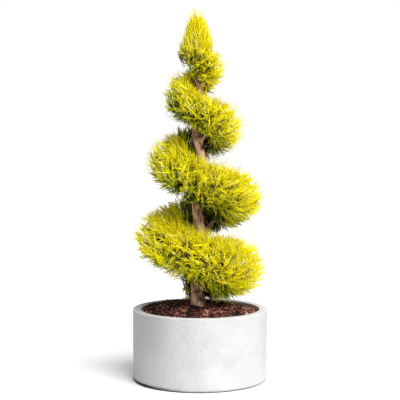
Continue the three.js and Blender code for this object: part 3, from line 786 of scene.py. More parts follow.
def inner_shoots(number):
    """Shoots inside a mass of the coil, at chance shares of the size of its sections."""
    random = np.random.default_rng(SEED + 400 + number)
    start, _, size, radius = mass_middle(number)
    spacing = shrunk(INNER, size)
    rows = round(math.pi * STEP * radius / spacing * INNER["denser"])
    around = round(2 * math.pi * INNER["depth"] * size / spacing * INNER["denser"])
    s, angle = staggered(random, start, rows, around, 0.5)
    sec = section(s)
    outwards = out_of_section(sec, angle)
    lit = daylight(random, outwards)
    share = random.uniform(INNER["nearest"], INNER["farthest"], len(s))
    share = share + INNER["towards_light"] * np.clip(lit - 0.6, -0.3, 0.3)
    spot = on_section(sec, angle, share)
    way = unit(outwards + random.normal(0, INNER["astray"], spot.shape))
    length = INNER["length"] * size * random.uniform(0.8, 1.2, len(s))
    root = spot - way * length[:, None]
    kept = clear_of_limbs(np.stack([root, spot], 1), INNER["clear"]).all(-1)
    kept = kept & (np.minimum(root[:, 2], spot[:, 2]) > INNER["lowest"])
    hidden = np.where(s < INNER["hidden_until"], INNER["hidden_above"], INNER["hidden_below"])
    tone = tone_of(lit - INNER["darker"] * (1.1 - lit) - hidden * (np.cos(angle) < 0))
    girth = INNER["girth"] * random.uniform(0.8, 1.2, len(s))
    return shoots(random, root[kept], way[kept], length[kept], girth[kept], tone[kept], INNER["whorls"])


def strands(number):
    """The plumes of a mass beside and in front of the trunk: their tips are spread over a box, and each
    grows to its tip by its group's way and a chance part."""
    random = np.random.default_rng(SEED + 9 + number)
    parts = []
    for count, _, *box, length, way, light, girth in [group for group in STRANDS if group[1] == number]:
        tip = np.stack([random.uniform(*side, count) for side in box], -1)
        tip[:, 0] += TRUNK["x"]
        way = unit(np.array(way) + random.normal(0, STRAND_ASTRAY, tip.shape))
        length = length * random.uniform(0.75, 1.15, count)
        light = random.uniform(*light, count)
        parts.append(plumes(random, tip, way, length, light, np.full(count, girth))[0])
    return parts


def light_there(random, s, angle, outwards, tip):
    """What a plume's place adds to the light that it gets: each term is an amount times its ramps, and the
    plumes that face the trunk lose some."""
    place = {
        "x": tip[:, 0],
        "y": tip[:, 1],
        "z": tip[:, 2],
        "turn": s,
        "lower": s > LIGHT["lower_from"],
        "right": outwards[:, 0],
        "up": outwards[:, 2],
        "from_third": np.abs(s - LIGHT["third_turn"]),
        "from_foot": np.abs(tip[:, 0] - LIGHT["foot_x"]),
    }
    facing = ramp(np.cos(angle), *LIGHT["facing"])
    upper, right = s < LIGHT["upper_until"], ramp(tip[:, 0], 0, LIGHT["right_by"])
    facing = facing * np.where(upper, LIGHT["upper_share"] - LIGHT["upper_right"] * right, 1)
    total = facing * (LIGHT["right_gain"] * upper * right - LIGHT["facing_loss"])
    for amount, ramps, chance in LIGHT_TERMS:
        term = amount * np.prod([ramp(place[axis], start, end) for axis, start, end in ramps], axis=0)
        total = total + (term if chance is None else term * random.uniform(*chance, len(s)))
    return total


def coil_plumes(number):
    """The plumes of one mass of the coil: rows of tips over its part of the surface, each at a chance share
    of its section's size, and further out at the corners that face the trunk and in the veil."""
    random = np.random.default_rng(SEED + 101 * (number + 1))
    start, middle, size, radius = mass_middle(number)
    spacing = shrunk(PLUME, size)
    rows = round(math.pi * STEP * (radius + PLUME["outer"] * float(middle["half_width"][0])) / spacing)
    mean_half = math.hypot(middle["half_width"][0], middle["half_height"][0]) / math.sqrt(2)
    s, angle = staggered(random, start, rows, round(2 * math.pi * mean_half / spacing), PLUME["astray"])
    s = np.clip(s, COIL["start"], COIL["end"])
    close = s < PLUME["close_until"]
    inner = np.cos(angle) < PLUME["facing_from"]
    keep = ~inner | (random.uniform(size=len(s)) < PLUME["facing_trunk"]) | close
    s, angle, inner, close = s[keep], angle[keep], inner[keep], close[keep]
    sec = section(s)
    outwards = out_of_section(sec, angle)
    way = growth(random, outwards, sec["away"])
    way = unit(way + GROWTH["more_outward"] * outwards + GROWTH["more_upward"] * UP)
    reach = random.uniform(PLUME["nearest"], PLUME["farthest"], len(s))
    corner = np.where(close, 2, 1) * PLUME["corner"]
    reach = reach + corner * np.abs(np.sin(2 * angle)) * (np.cos(angle) < 0)
    veil = np.exp(-(((s - PLUME["veil_middle"]) / PLUME["veil_width"]) ** 2)) * np.clip(-np.sin(angle), 0, 1)
    reach = reach + PLUME["veil"] * veil
    tip = on_section(sec, angle, reach)
    length = np.minimum(PLUME["length"] * sec["size"][:, 0], PLUME["longest"])
    length = length * random.uniform(1 - PLUME["uneven"], 1 + PLUME["uneven"], len(s))
    length = length * np.where(inner, PLUME["facing_length"], 1)
    light = daylight(random, outwards) + LIGHT["proud"] * (reach - 1) + LIGHT["veil"] * veil
    light = light + light_there(random, s, angle, outwards, tip)
    light = np.where(np.cos(angle) > 0, np.maximum(light, LIGHT["least_outside"]), light)
    return random, tip, way, length, light, sec, angle


def parting_height(points):
    """Height of the sloping plane that parts the tip from the coil."""
    return TIP["plane_height"] + TIP["slope"] * (points[..., 0] - TRUNK["x"])


def mass(number):
    """A mass of the coil, clear of the mulch and of the tip: its plumes, wisps, inner shoots and strands,
    and the roots of its plumes."""
    random, tip, way, length, light, sec, angle = coil_plumes(number)
    low = tip[:, 2] - length * np.clip(way[:, 2], 0, None)
    ground = mound(np.hypot(tip[:, 0], tip[:, 1]), np.arctan2(tip[:, 1], tip[:, 0]))
    kept = tip[:, 2] < parting_height(tip) + PARTING["coil"]
    kept = kept & (np.minimum(low, tip[:, 2]) > ground + PLUME["above_mulch"])
    wispy = kept & (random.uniform(size=len(tip)) < WISP["share"]) & (np.cos(angle) > WISP["facing_from"])
    far = on_section(sec, angle, random.uniform(WISP["nearest"], WISP["farthest"], len(tip)))[wispy]
    far_way = unit(way + random.normal(0, WISP["astray"], way.shape))[wispy]
    far_light = light[wispy]
    tip, way, length, light = tip[kept], way[kept], length[kept], light[kept]
    thick = SHOOT["girth"] * random.uniform(0.8, 1.15, len(tip))
    made, roots = plumes(random, tip, way, length, light, thick)
    parts = [made, inner_shoots(number), wisps(random, far, far_way, far_light)]
    return joined(parts + strands(number)), roots


# Foliage of the tip
def tip_shape(z):
    """Radius and middle of the tip at a height: a cone with a rounded side over the fullest height, drawn
    in below."""
    t = ramp(z, TIP["fullest"], TIP["top"])
    low = ramp(z, TIP["bottom"], TIP["fullest"])
    below = np.sqrt(1 - TIP["drawn_in"] * (1 - low) ** 2)
    radius = TIP["radius"] * np.where(t > 0, (1 - t) ** TIP["fullness"], below)
    return radius, np.stack([np.full_like(z, TRUNK["x"] + TIP["offset"]), np.zeros_like(z), z], -1)


def tip_mass():
    """The tip's plumes, set out at the golden angle from the plane that parts it from the coil up to its
    point, with painted shade at its foot and on the left of its underside."""
    random = np.random.default_rng(SEED)
    count = TIP["plumes"]
    up = TIP["highest"] * ((np.arange(count) + 0.5) / count) ** TIP["crowding"]
    angle = np.arange(count) * GOLDEN_ANGLE
    away = polar(1, angle, np.zeros(count))
    foot = TIP["plane_height"] + TIP["slope"] * (TIP["offset"] + TIP["radius"] * np.cos(angle))
    z = foot + (TIP["core_top"] - foot) * up
    radius, centre = tip_shape(z)
    reach = random.uniform(0.85, 1.1, count)
    tip = centre + away * (radius * reach)[:, None]
    way = unit(growth(random, away, away) + (TIP["first_rise"] + TIP["rise"] * up)[:, None] * UP)
    length = TIP["length"] * random.uniform(0.8, 1.2, count)
    light = daylight(random, unit(away + 0.7 * UP)) + 0.05 * up + LIGHT["proud"] * (reach - 1)
    light = light + random.normal(0, 0.08, count)
    over = tip[:, 2] - parting_height(tip)
    left = ramp(tip[:, 0] - TRUNK["x"], 8, -12)
    light = light - 0.3 * (over < PARTING["tip"]) - 0.4 * ramp(over, 24, 4) * left
    thick = SHOOT["girth"] * TIP["slimmer"] * random.uniform(0.8, 1.1, count)
    made, _ = plumes(random, tip, way, length, light, thick)
    stray = random.uniform(size=count) < TIP["wisps"]
    far = centre + away * (radius * random.uniform(1.0, 1.25, count))[:, None] + 16 * up[:, None] * UP
    far[:, 2] = np.minimum(far[:, 2], TIP["top"] + 4)
    return joined([made, wisps(random, far[stray], way[stray], light[stray])])


# Juvenile cypress needles in tones from the shaded inside to the sunlit ends: a thin waxy skin, so the
# gloss is soft and the colour full
CYPRESS_TONES = {
    "shade_brown": "#291F02",
    "deep_green": "#313F04",
    "green": "#56700A",
    "olive": "#8D980C",
    "lime": "#C4C00E",
    "yellow": "#DCD30C",
    "gold": "#E6D80C",
    # A painted highlight, given to a share of the shoots that aren't dark
    "painted_highlight": "#ECE676",
}
TONES = len(CYPRESS_TONES)
FOLIAGE_MATERIALS = [
    material(f"cypress_needles_{name}", Base_Color=linear(shade), Roughness=0.6, Specular_IOR_Level=0.12)[0]
    for name, shade in CYPRESS_TONES.items()
]
# Bark of twigs a few millimetres thick: matt, and too fine for a pattern
TWIG_MATERIAL = material("cypress_twig_bark", Base_Color=linear("#6A6018"), Roughness=0.85)[0]


def bark_material():
    """Thin flaking cypress bark, matt: pinkish plates with dark seams between them and fibres along the
    limb, which are drawn coarser than they are so that they show. The relief attribute also carries painted
    shade, which darkens the bark as its seams do."""
    made, tree, shader = material("cypress_trunk_bark", Roughness=0.9, Specular_IOR_Level=0.2)
    place = node(tree, "ShaderNodeTexCoord").outputs["Object"]
    # The ridges' height, less the painted shade under the coil's turns and on the left of the foot
    relief = node(tree, "ShaderNodeAttribute", attribute_name="relief")
    fibre_way = node(tree, "ShaderNodeMapping", {"Vector": place, "Scale": (1, 1, 0.16)})
    plate_way = node(tree, "ShaderNodeMapping", {"Vector": place, "Scale": (1, 1, 0.45)})
    fibres = {"Vector": fibre_way, "Scale": pattern(2.381), "Detail": 4.0}
    fibre = node(tree, "ShaderNodeTexNoise", fibres).outputs["Fac"]
    plates = {"Vector": plate_way, "Scale": pattern(8.333)}
    plate = node(tree, "ShaderNodeTexVoronoi", plates).outputs["Color"]
    blotches = {"Vector": place, "Scale": pattern(18.182), "Detail": 3.0}
    blotch = node(tree, "ShaderNodeTexNoise", blotches).outputs["Fac"]
    height = relief.outputs["Fac"]
    for texture, weight in ((plate, 0.55), (fibre, 1.0), (blotch, 1.6)):
        height = node(tree, "ShaderNodeMath", {0: texture, 1: weight, 2: height}, operation="MULTIPLY_ADD")
    scaled = node(tree, "ShaderNodeMath", {0: height, 1: 0.4}, operation="MULTIPLY")
    seams_to_plates = [(0.38, "#21120C"), (0.56, "#6E4D3A"), (0.71, "#B08469"), (0.88, "#E9BE9A")]
    shade = node(tree, "ShaderNodeValToRGB", {"Fac": scaled}, seams_to_plates)
    tree.links.new(shade.outputs[0], shader.inputs["Base Color"])
    bump = node(tree, "ShaderNodeBump", {"Height": fibre, "Distance": 0.8 * MM, "Strength": 0.8})
    tree.links.new(bump.outputs[0], shader.inputs["Normal"])
    return made


BARK_MATERIAL = bark_material()
# How much of each mark the concrete has, at millimetres across from its middle or up from the ground
CONCRETE_MARKS = {
    "flecks_across": ("across", [(-170, 0), (-100, 1), (-40, 1), (20, 0)]),
    # Darker in cloudy patches left of the middle, more so towards the rim
    "darker_left_across": ("across", [(-210, 0.1), (-165, 0.95), (-135, 1), (-60, 0)]),
    "darker_left_up": ("up", [(50, 0.08), (100, 0.45), (170, 1)]),
    # The foot's painted contact shadow, darkest on the left
    "foot_shadow_across": ("across", [(-160, 1), (-110, 0.6), (-40, 0)]),
    "foot_shadow_up": ("up", [(8.5, 1), (12, 0)]),
}


def concrete_material():
    """Cast concrete, matt: cloudy where the mix settled, sandy, with small air holes, whose shade is painted
    in as a darker grey. Left of its middle it has whitish worn flecks and is darker in cloudy patches,
    more so towards the rim, and along its foot is a painted contact shadow, darkest on the left. The sand
    is drawn coarser than it is."""
    made, tree, shader = material("cast_concrete", Roughness=0.85, Specular_IOR_Level=0.3)
    place = node(tree, "ShaderNodeTexCoord").outputs["Object"]
    sides = node(tree, "ShaderNodeSeparateXYZ", {0: place})
    middle = 0.5  # a ramp runs from 0 to 1, so places across are moved to its middle
    across = node(tree, "ShaderNodeMath", {0: sides, 1: middle}, operation="ADD")
    starts = {"across": (across, middle), "up": (sides.outputs[2], 0)}
    marks = {}
    for name, (direction, stops) in CONCRETE_MARKS.items():
        value, moved = starts[direction]
        stops = [(moved + spot * MM, share) for spot, share in stops]
        marks[name] = node(tree, "ShaderNodeValToRGB", {"Fac": value}, stops)

    clouds = {"Vector": place, "Scale": pattern(71.43), "Detail": 6.0, "Roughness": 0.62}
    cloud = node(tree, "ShaderNodeTexNoise", clouds).outputs["Fac"]
    cloudy = [(0.3, "#A5A3A4"), (0.5, "#ADABAC"), (0.7, "#B5B3B4")]
    colour = node(tree, "ShaderNodeValToRGB", {"Fac": cloud}, cloudy).outputs[0]
    upright = node(tree, "ShaderNodeMapping", {"Vector": place, "Scale": (1, 1, 0.4)})
    specks = {"Vector": upright, "Scale": pattern(4.167), "Detail": 3.0, "Roughness": 0.7}
    speck = node(tree, "ShaderNodeTexNoise", specks).outputs["Fac"]
    fleck = node(tree, "ShaderNodeValToRGB", {"Fac": speck}, [(0.52, 0), (0.72, 1)])
    worn = node(tree, "ShaderNodeMath", {0: fleck, 1: marks["flecks_across"]}, operation="MULTIPLY")
    # Darker in cloudy patches on the left, more so towards the rim
    darker_left = {0: marks["darker_left_across"], 1: marks["darker_left_up"]}
    darker_left = node(tree, "ShaderNodeMath", darker_left, operation="MULTIPLY")
    uneven = node(tree, "ShaderNodeMath", {0: cloud, 1: 1.7}, operation="MULTIPLY")
    darker_left_patches = node(tree, "ShaderNodeMath", {0: darker_left, 1: uneven}, operation="MULTIPLY", use_clamp=True)
    # Painted contact shadow along the foot, darkest on the left
    damp = {0: marks["foot_shadow_across"], 1: marks["foot_shadow_up"]}
    damp = node(tree, "ShaderNodeMath", damp, operation="MULTIPLY")
    # Mixed in: the whitish flecks, the darker patches on the left and the painted contact shadow at the foot
    for share, mark in ((worn, "#BDBBBC"), (darker_left_patches, "#989697"), (damp, "#121111")):
        mixed = {0: share, 6: colour, 7: linear(mark)}
        colour = node(tree, "ShaderNodeMix", mixed, data_type="RGBA").outputs[2]

    # Air holes: a bump only, with the shade in them painted as a darker grey
    voronoi = {"Vector": place, "Scale": pattern(13.333), "Randomness": 1.0}
    holes = node(tree, "ShaderNodeTexVoronoi", voronoi).outputs
    hole = node(tree, "ShaderNodeValToRGB", {"Fac": holes["Distance"]}, [(0.05, 0), (0.11, 1)])
    without = node(tree, "ShaderNodeMath", {0: holes["Color"], 1: 0.68}, operation="LESS_THAN")
    whole = node(tree, "ShaderNodeMath", {0: hole, 1: without}, operation="MAXIMUM")
    mixed = {0: whole, 6: linear("#858383"), 7: colour}
    colour = node(tree, "ShaderNodeMix", mixed, data_type="RGBA").outputs[2]
    tree.links.new(colour, shader.inputs["Base Color"])
    sand = node(tree, "ShaderNodeTexNoise", {"Vector": place, "Scale": pattern(1.4286), "Detail": 2.0})
    sand = {"Height": sand.outputs["Fac"], "Distance": 0.4 * MM, "Strength": 0.5}
    sandy = node(tree, "ShaderNodeBump", sand)
    bump = node(tree, "ShaderNodeBump", {"Height": whole, "Distance": 1.2 * MM, "Normal": sandy})
    tree.links.new(bump.outputs[0], shader.inputs["Normal"])
    return made


def mulch_material():
    """Composted bark under the chips, damp and matt: crumbs of a few millimetres, near black between
    them."""
    made, tree, shader = material("composted_bark", Roughness=0.95, Specular_IOR_Level=0.15)
    place = node(tree, "ShaderNodeTexCoord").outputs["Object"]
    crumbs = node(tree, "ShaderNodeTexNoise", {"Vector": place, "Scale": pattern(3.846), "Detail": 4.0})
    crumbs = crumbs.outputs["Fac"]
    shades = [(0.35, "#070302"), (0.6, "#1C0B07"), (0.8, "#3A1A12")]
    shade = node(tree, "ShaderNodeValToRGB", {"Fac": crumbs}, shades)
    tree.links.new(shade.outputs[0], shader.inputs["Base Color"])
    bump = node(tree, "ShaderNodeBump", {"Height": crumbs, "Distance": 3 * MM, "Strength": 1.0})
    tree.links.new(bump.outputs[0], shader.inputs["Normal"])
    return made


def paper_material():
    """Matt white paper, a little greyer where it runs away behind the planter."""
    made, tree, shader = material("white_paper", Roughness=0.9, Specular_IOR_Level=0.1)
    place = node(tree, "ShaderNodeTexCoord").outputs["Object"]
    depth = node(tree, "ShaderNodeSeparateXYZ", {0: place}).outputs[1]
    shades = [(0.4, "#D9D9D9"), (1.0, "#CDCDCD")]
    shade = node(tree, "ShaderNodeValToRGB", {"Fac": depth}, shades)
    tree.links.new(shade.outputs[0], shader.inputs["Base Color"])
    return made


# Planter
def planter_profile():
    """Radius and height of the planter's outline from the middle of its underside round the rim to the
    middle of its inner floor: straight runs joined by quarter circles at the rim's edges and a bevel at the
    foot."""
    rim, height, edge, floor = PLANTER["rim"], PLANTER["height"], PLANTER["edge"], PLANTER["floor"]
    pole, lift = PLANTER["pole"], PLANTER["lift"]
    foot, inner = rim - PLANTER["draft"], rim - PLANTER["wall"]
    groove, (bevel_in, bevel_up) = foot - PLANTER["groove"], PLANTER["bevel"]
    quarter = np.linspace(0, math.pi / 2, 7)

    def runs(corners, counts):
        pairs = zip(corners, corners[1:], counts)
        return [np.linspace(a, b, count, endpoint=False) for a, b, count in pairs]

    def arc(x, start):
        round_it = np.stack([np.cos(quarter + start), np.sin(quarter + start)], -1)
        return np.array([x, height - edge]) + edge * round_it

    foot_edge = [(groove + 1, lift), (foot - bevel_in, lift + 0.2), (foot, lift + bevel_up)]
    outside = [(pole, 0), (groove, 0)] + foot_edge + [(rim, height - edge)]
    inside = [(inner, height - edge - 1), (inner, floor), (pole, floor)]
    return np.concatenate([
        *runs(outside, (8, 3, 3, 4, 46)),
        arc(rim - edge, 0),
        arc(inner + edge, math.pi / 2),
        *runs(inside, (14, 4)),
        [(pole, floor)],
    ])


def planter():
    """The outline turned about +Z, its radius waved by a third of a millimetre, as a mould's face is."""
    profile = planter_profile()
    columns = PLANTER["columns"]
    angle = 2 * math.pi * np.arange(columns) / columns
    radius, z = profile[:, :1], profile[:, 1:]
    points = polar(radius, angle, z + 0 * angle)
    wave = PLANTER["waves"] * rolling(points, PLANTER["wave_length"], SEED + 1, 3) * (radius > 20)
    scale = 1 + wave / radius
    points[..., :2] *= scale[..., None]
    quads = grid_faces(len(profile), columns, close_first=True, close_last=True)
    piece("planter_cast", points.reshape(-1, 3), quads, [concrete_material()], smooth=True,
          replaced=["planter"])


# Mulch
def mound(radius, angle):
    """Height of the mulch at a place: the source's sine mound, fuller on the left, with chance hummocks."""
    share = ramp(radius, SOIL["edge"], SOIL["level"])
    rise = np.sin(math.pi / 2 * share ** SOIL["fullness"])
    z = SOIL["edge_height"] + (SOIL["top"] - SOIL["edge_height"]) * rise
    x = radius * np.cos(angle)
    z = z - SOIL["lean"] * x * (SOIL["lean_at_wall"] + share) * (1 - share)
    hummocks = SOIL["hummocks"] * rolling(polar(radius, angle, 0 * x), SOIL["hummock_length"], SEED + 2, 3)
    return z + hummocks - SOIL["sunk"] - SOIL["sunk_right"] * ramp(x, *SOIL["right"])


def mulch_bed(edge):
    """The mound turned about +Z, from the planter's wall to its middle."""
    rows, columns = SOIL["rows"], SOIL["columns"]
    radius = np.linspace(edge, PLANTER["pole"], rows)[:, None]
    angle = 2 * math.pi * np.arange(columns)[None] / columns
    z = mound(radius + 0 * angle, angle + 0 * radius)
    bed = polar(radius, angle, z)
    piece("mulch_bed", bed.reshape(-1, 3), grid_faces(rows, columns, close_last=True), [mulch_material()],
          smooth=True, replaced=["soil"])


def chip_template():
    """Corner numbers of a chip's faces: three rings joined by triangles, with both ends closed."""
    n = CHIP["corners"]
    cells = [(i * n, k, (k + 1) % n) for i in range(2) for k in range(n)]
    return np.array(
        [[i + k, i + after, i + n + after] for i, k, after in cells]
        + [[i + k, i + n + after, i + n + k] for i, k, after in cells]
        + [[2 * n, 2 * n + k, 2 * n + k + 1] for k in range(1, n - 1)]
        + [[0, k + 1, k] for k in range(1, n - 1)]
    )


def bark_chips(edge):
    """Each chip is a six-sided plate, longer than wide, that lies askew on the mound: three rings of
    corners over each other, the middle one the widest. Chips are set out at the golden angle."""
    random = np.random.default_rng(SEED + 3)
    count, n = CHIP["count"], CHIP["corners"]
    radius = (edge - 3) * np.sqrt((np.arange(count) + 0.5) / count)
    angle = np.arange(count) * GOLDEN_ANGLE + random.uniform(-0.02, 0.02, count)
    length = random.uniform(*CHIP["length"], count)
    radius = np.minimum(radius, edge - 1 - length / 2)
    width = length * random.uniform(*CHIP["width"], count)
    thick = random.uniform(*CHIP["thickness"], count)
    spot = polar(radius, angle, mound(radius, angle))
    spot[:, 2] += random.uniform(*CHIP["height"], count)
    normal = unit(random.normal(0, CHIP["astray"], (count, 3)) + UP)
    long_way = unit(np.cross(normal, unit(random.normal(size=(count, 3)))))
    wide_way = np.cross(normal, long_way)
    corner = 2 * math.pi * np.arange(n) / n
    ragged = random.uniform(*CHIP["ragged"], (count, n))
    along_chip = 0.5 * length[:, None] * np.cos(corner) * ragged
    across_chip = 0.5 * width[:, None] * np.sin(corner) * ragged * CHIP["wider"]
    rings = [
        spot[:, None]
        + size * along_chip[..., None] * long_way[:, None]
        + size * across_chip[..., None] * wide_way[:, None]
        + (height * thick)[:, None, None] * normal[:, None]
        for height, size in CHIP["rings"]
    ]
    points = np.concatenate(rings, 1)
    # Dry and damp bark, matt: each chip one plain shade, dealt in patches, lighter rightwards as painted
    # light
    chips = [
        material(f"bark_chip_{i + 1}", Base_Color=linear(shade), Roughness=0.9, Specular_IOR_Level=0.2)[0]
        for i, shade in enumerate(CHIP["shades"])
    ]
    lit = 0.8 * rolling(spot * [1, 1, 0], CHIP["patches"], SEED + 4, 2)
    # Painted light: the chips get lighter towards the right
    lit = lit + 0.003 * spot[:, 0] + random.normal(0, 0.75, count)
    dealt = np.searchsorted(CHIP["steps"], lit)
    from_trunk = np.hypot(*(spot - trunk_axis(spot[:, 2]))[:, :2].T)
    clear = from_trunk > TRUNK["foot_radius"] + TRUNK["flare"] + 0.4 * length
    template = chip_template()
    faces = repeated(template, clear.sum(), 3 * n)
    piece("bark_chips", points[clear].reshape(-1, 3), faces, chips, np.repeat(dealt[clear], len(template)))


# Trunk, boughs and twigs
def bark_relief(angle, distance, seed):
    """Height of the bark, from about -1 to 1: long ridges that wander round the limb as they run along it,
    broken crosswise, over finer sets of the same."""
    random = np.random.default_rng(seed)
    total = 0
    for ridges, run, share in ((7, 90, 0.5), (13, 45, 0.35), (23, 26, 0.25)):
        phase = random.uniform(0, 2 * math.pi, 4)
        wander = 0.9 * np.sin(2 * math.pi * distance / run + phase[0])
        wander = wander + 0.7 * np.sin(distance / run * 3.3 + phase[1] + angle)
        ridge = np.sin(ridges * angle + wander + phase[2])
        broken = 0.65 + 0.35 * np.sin(2 * math.pi * distance / (0.6 * run) + 2 * angle + phase[3])
        total = total + share * (1 - 2 * np.abs(ridge) ** 0.7) * -broken
    return total


def barked_limb(name, line, radii, depth, seed, replaced, shaded):
    """A limb with its bark: rings round a line, each point pushed out by the relief, and both ends drawn
    almost to a point and closed. shaded says where less light comes, which darkens it like a deep seam."""
    columns = radii.shape[1]
    way = unit(np.gradient(line, axis=0))
    side = unit(np.cross(way, [0.0, 1.0, 0.02]))
    other = np.cross(way, side)
    distance = np.concatenate([[0], np.cumsum(np.linalg.norm(np.diff(line, axis=0), axis=1))])[:, None]
    angle = 2 * math.pi * np.arange(columns)[None] / columns
    relief = bark_relief(angle, distance, seed)
    full = radii + depth * relief
    full[[0, -1]] = 0.05
    points = line[:, None] + full[..., None] * turned(side, other, angle)
    faces = grid_faces(len(line), columns, close_first=True, close_last=True)
    made = piece(name, points.reshape(-1, 3), faces, [BARK_MATERIAL], smooth=True,
                 replaced=replaced)
    # The relief attribute: the ridges' height, less the painted shade
    shade = made.data.attributes.new("relief", "FLOAT", "POINT")
    shade.data.foreach_set("value", (0.5 + 0.5 * np.clip(relief, -1, 1) - shaded).astype(np.float32).ravel())


def limb_line(points, radii, rings):
    """A smooth line with more points through a few, and its radii."""
    t = np.linspace(0, len(points) - 1, rings)
    line = np.stack([along(points[:, axis], t) for axis in range(3)], -1)
    return line, np.interp(t, np.arange(len(radii)), radii)


def under_turns(z, angle):
    """How shaded the trunk is under the turn of the coil that passes over a place, as a ramp down from the
    turn's underside, and on the left of its foot."""
    shaded = np.zeros(np.broadcast_shapes(z.shape, angle.shape))
    for turn, reach in enumerate(UNDER_TURN["reach"]):
        s = (angle / math.pi + 1) % 2 + 2 * turn
        there = ramp(s, COIL["end"] + UNDER_TURN["end_fade"], COIL["end"] - UNDER_TURN["end_fade"])
        s = np.clip(s, COIL["start"], COIL["end"])
        underside = along(COIL["heights"], s) - UNDER_TURN["underside"] * along(COIL["half_heights"], s)
        below = underside - z
        there = there * (below > -UNDER_TURN["inside"])
        shaded = np.maximum(shaded, there * ramp(below, reach, reach / 2))
    left_foot = np.clip(-np.cos(angle), 0, 1) * ramp(z, LEFT_FOOT["top"], LEFT_FOOT["full_below"])
    return UNDER_TURN["most"] * shaded + LEFT_FOOT["most"] * left_foot


def trunk():
    """The trunk from under the mulch to its tip: its radius and a flare at the foot that falls off
    exponentially and is scalloped by a cosine into buttresses."""
    z = np.linspace(TRUNK_FOOT - TRUNK["in_soil"], TRUNK["top"], TRUNK["rings"])
    z = np.concatenate([[z[0]], z, [z[-1]]])
    line = trunk_axis(z)
    angle = 2 * math.pi * np.arange(TRUNK["columns"])[None] / TRUNK["columns"]
    flare = TRUNK["flare"] * np.exp(-np.clip(z - TRUNK_FOOT, 0, None) / TRUNK["flare_height"])[:, None]
    scallop = 1 + TRUNK["buttress_depth"] * np.cos(TRUNK["buttresses"] * angle)
    radii = trunk_radius(z)[:, None] + flare * scallop
    line[0, 2] -= 0.1
    line[-1, 2] += 0.1
    # The rings' angle starts on the left, the coil's on the right
    shaded = under_turns(z[:, None], angle + math.pi)
    barked_limb("trunk_bark", line, radii, TRUNK["relief"], SEED + 5, ["trunk"], shaded)


def boughs():
    """Each bough along its bowed line, with a collar at the trunk that falls off exponentially."""
    for number, (points, radii) in enumerate(BOUGHS):
        line, thick = limb_line(points, radii, BOUGH["rings"])
        far = np.linalg.norm(line - line[0], axis=1) - trunk_radius(line[0, 2])
        thick = thick * (1 + BOUGH["collar"] * np.exp(-np.clip(far, 0, None) / BOUGH["collar_length"]))
        radii = thick[:, None] + np.zeros((1, BOUGH["columns"]))
        shaded = BOUGH["shaded"] + BOUGH["more_shaded"] * number
        barked_limb(f"bough_bark_{number + 1:02}", line, radii, BOUGH["relief"], SEED + 20 + number,
                    [f"bough_{number + 1:02}"], shaded)


def mass_twigs(number, roots):
    """The twigs inside a mass: the stem that runs from its bough along its middle line both ways, and a
    bent twig from the middle line to each plume."""
    random = np.random.default_rng(SEED + 700 + number)
    start, _, size, _ = mass_middle(number)
    first, last = start + TWIG["from_end"], start + STEP - TWIG["from_end"]
    middle = section(np.linspace(first, last, 7))["centre"]
    bough_end = BOUGHS[number][0][-1]
    parts = []
    for beside, end in ((2, 0), (4, -1)):
        line = [bough_end, 0.5 * (bough_end + middle[3]), middle[3], middle[beside], middle[end]]
        line, thick = limb_line(np.stack(line), np.array(TWIG["stem"]) * size, 12)
        parts.append(limbs(line[None], thick[None], TWIG["stem_sides"]))
    axis = roots - [TRUNK["x"], 0, 0]
    turn = np.arctan2(axis[:, 1], axis[:, 0])
    centre_turn = math.pi * (start + STEP / 2 - 1)
    aside = (turn - centre_turn + math.pi) % (2 * math.pi) - math.pi
    foot = section(np.clip(start + STEP / 2 + aside / math.pi - TWIG["behind"], first, last))["centre"]
    bend = foot + (roots - foot) * 0.5 + random.normal(0, TWIG["bend"], foot.shape) * size
    line = np.stack([foot, bend, roots], 1)
    thick = np.array(TWIG["radii"]) * random.uniform(0.8, 1.2, (len(roots), 1))
    free = clear_of_limbs(line, TWIG["clear"]).all(-1)
    parts.append(limbs(line[free], thick[free], 3))
    return [(points, faces, np.zeros(len(faces))) for points, faces in parts]


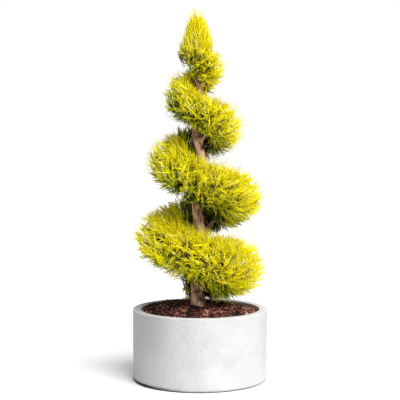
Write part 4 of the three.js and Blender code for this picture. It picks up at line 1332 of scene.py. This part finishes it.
# Stage
def stage():
    """A flat floor, a white backdrop that gives less light than it shows, and two soft suns."""
    mesh = bpy.data.meshes.new("studio_floor")
    half = FLOOR_SIZE * MM / 2
    corners = [(-half, -half, 0), (half, -half, 0), (half, half, 0), (-half, half, 0)]
    mesh.from_pydata(corners, [], [(0, 1, 2, 3)])
    mesh.materials.append(paper_material())
    floor = linked("studio_floor", mesh)
    world = bpy.data.worlds.new("studio")
    bpy.context.scene.world = world
    world.use_nodes = True
    tree = world.node_tree
    tree.nodes.clear()
    white = (1, 1, 1, 1)
    seen = node(tree, "ShaderNodeBackground", {"Color": white, "Strength": 1.0})
    lit = node(tree, "ShaderNodeBackground", {"Color": white, "Strength": SKY_LIGHT})
    path = node(tree, "ShaderNodeLightPath").outputs["Is Camera Ray"]
    mix = node(tree, "ShaderNodeMixShader", {0: path, 1: lit, 2: seen})
    node(tree, "ShaderNodeOutputWorld", {"Surface": mix})
    for name, lamp in (("key", KEY), ("fill", FILL)):
        data = bpy.data.lights.new(name, "SUN")
        data.energy = lamp["strength"]
        data.angle = math.radians(lamp["softness"])
        sun = linked(name, data)
        sun.rotation_euler = (math.radians(90 - lamp["elevation"]), 0, math.radians(lamp["azimuth"]))


def camera():
    """A long lens, over the middle of the plant's height and tipped a little down."""
    data = bpy.data.cameras.new("camera")
    data.lens, data.sensor_width = CAMERA["lens"], 36
    data.clip_end = 100
    made = linked("camera", data)
    made.location = (0, -CAMERA["distance"] * MM, CAMERA["height"] * MM)
    made.rotation_euler = (math.radians(90 - CAMERA["pitch"]), 0, 0)
    bpy.context.scene.camera = made


camera()
stage()
bpy.context.scene.view_settings.view_transform = "Standard"
planter()
soil_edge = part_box("soil")[1][0] / MM
mulch_bed(soil_edge)
bark_chips(soil_edge)
trunk()
boughs()
points, faces, dealt = tip_mass()
piece("shoots_tip", points, faces, FOLIAGE_MATERIALS, dealt, replaced=["foliage_tip"])
twigs = []
for number in range(COIL["masses"]):
    (points, faces, dealt), roots = mass(number)
    piece(f"shoots_{number + 1:02}", points, faces, FOLIAGE_MATERIALS, dealt,
          replaced=[f"foliage_{number + 1:02}"])
    twigs += mass_twigs(number, roots)
points, faces, _ = joined(twigs)
piece("twigs", points, faces, [TWIG_MATERIAL])
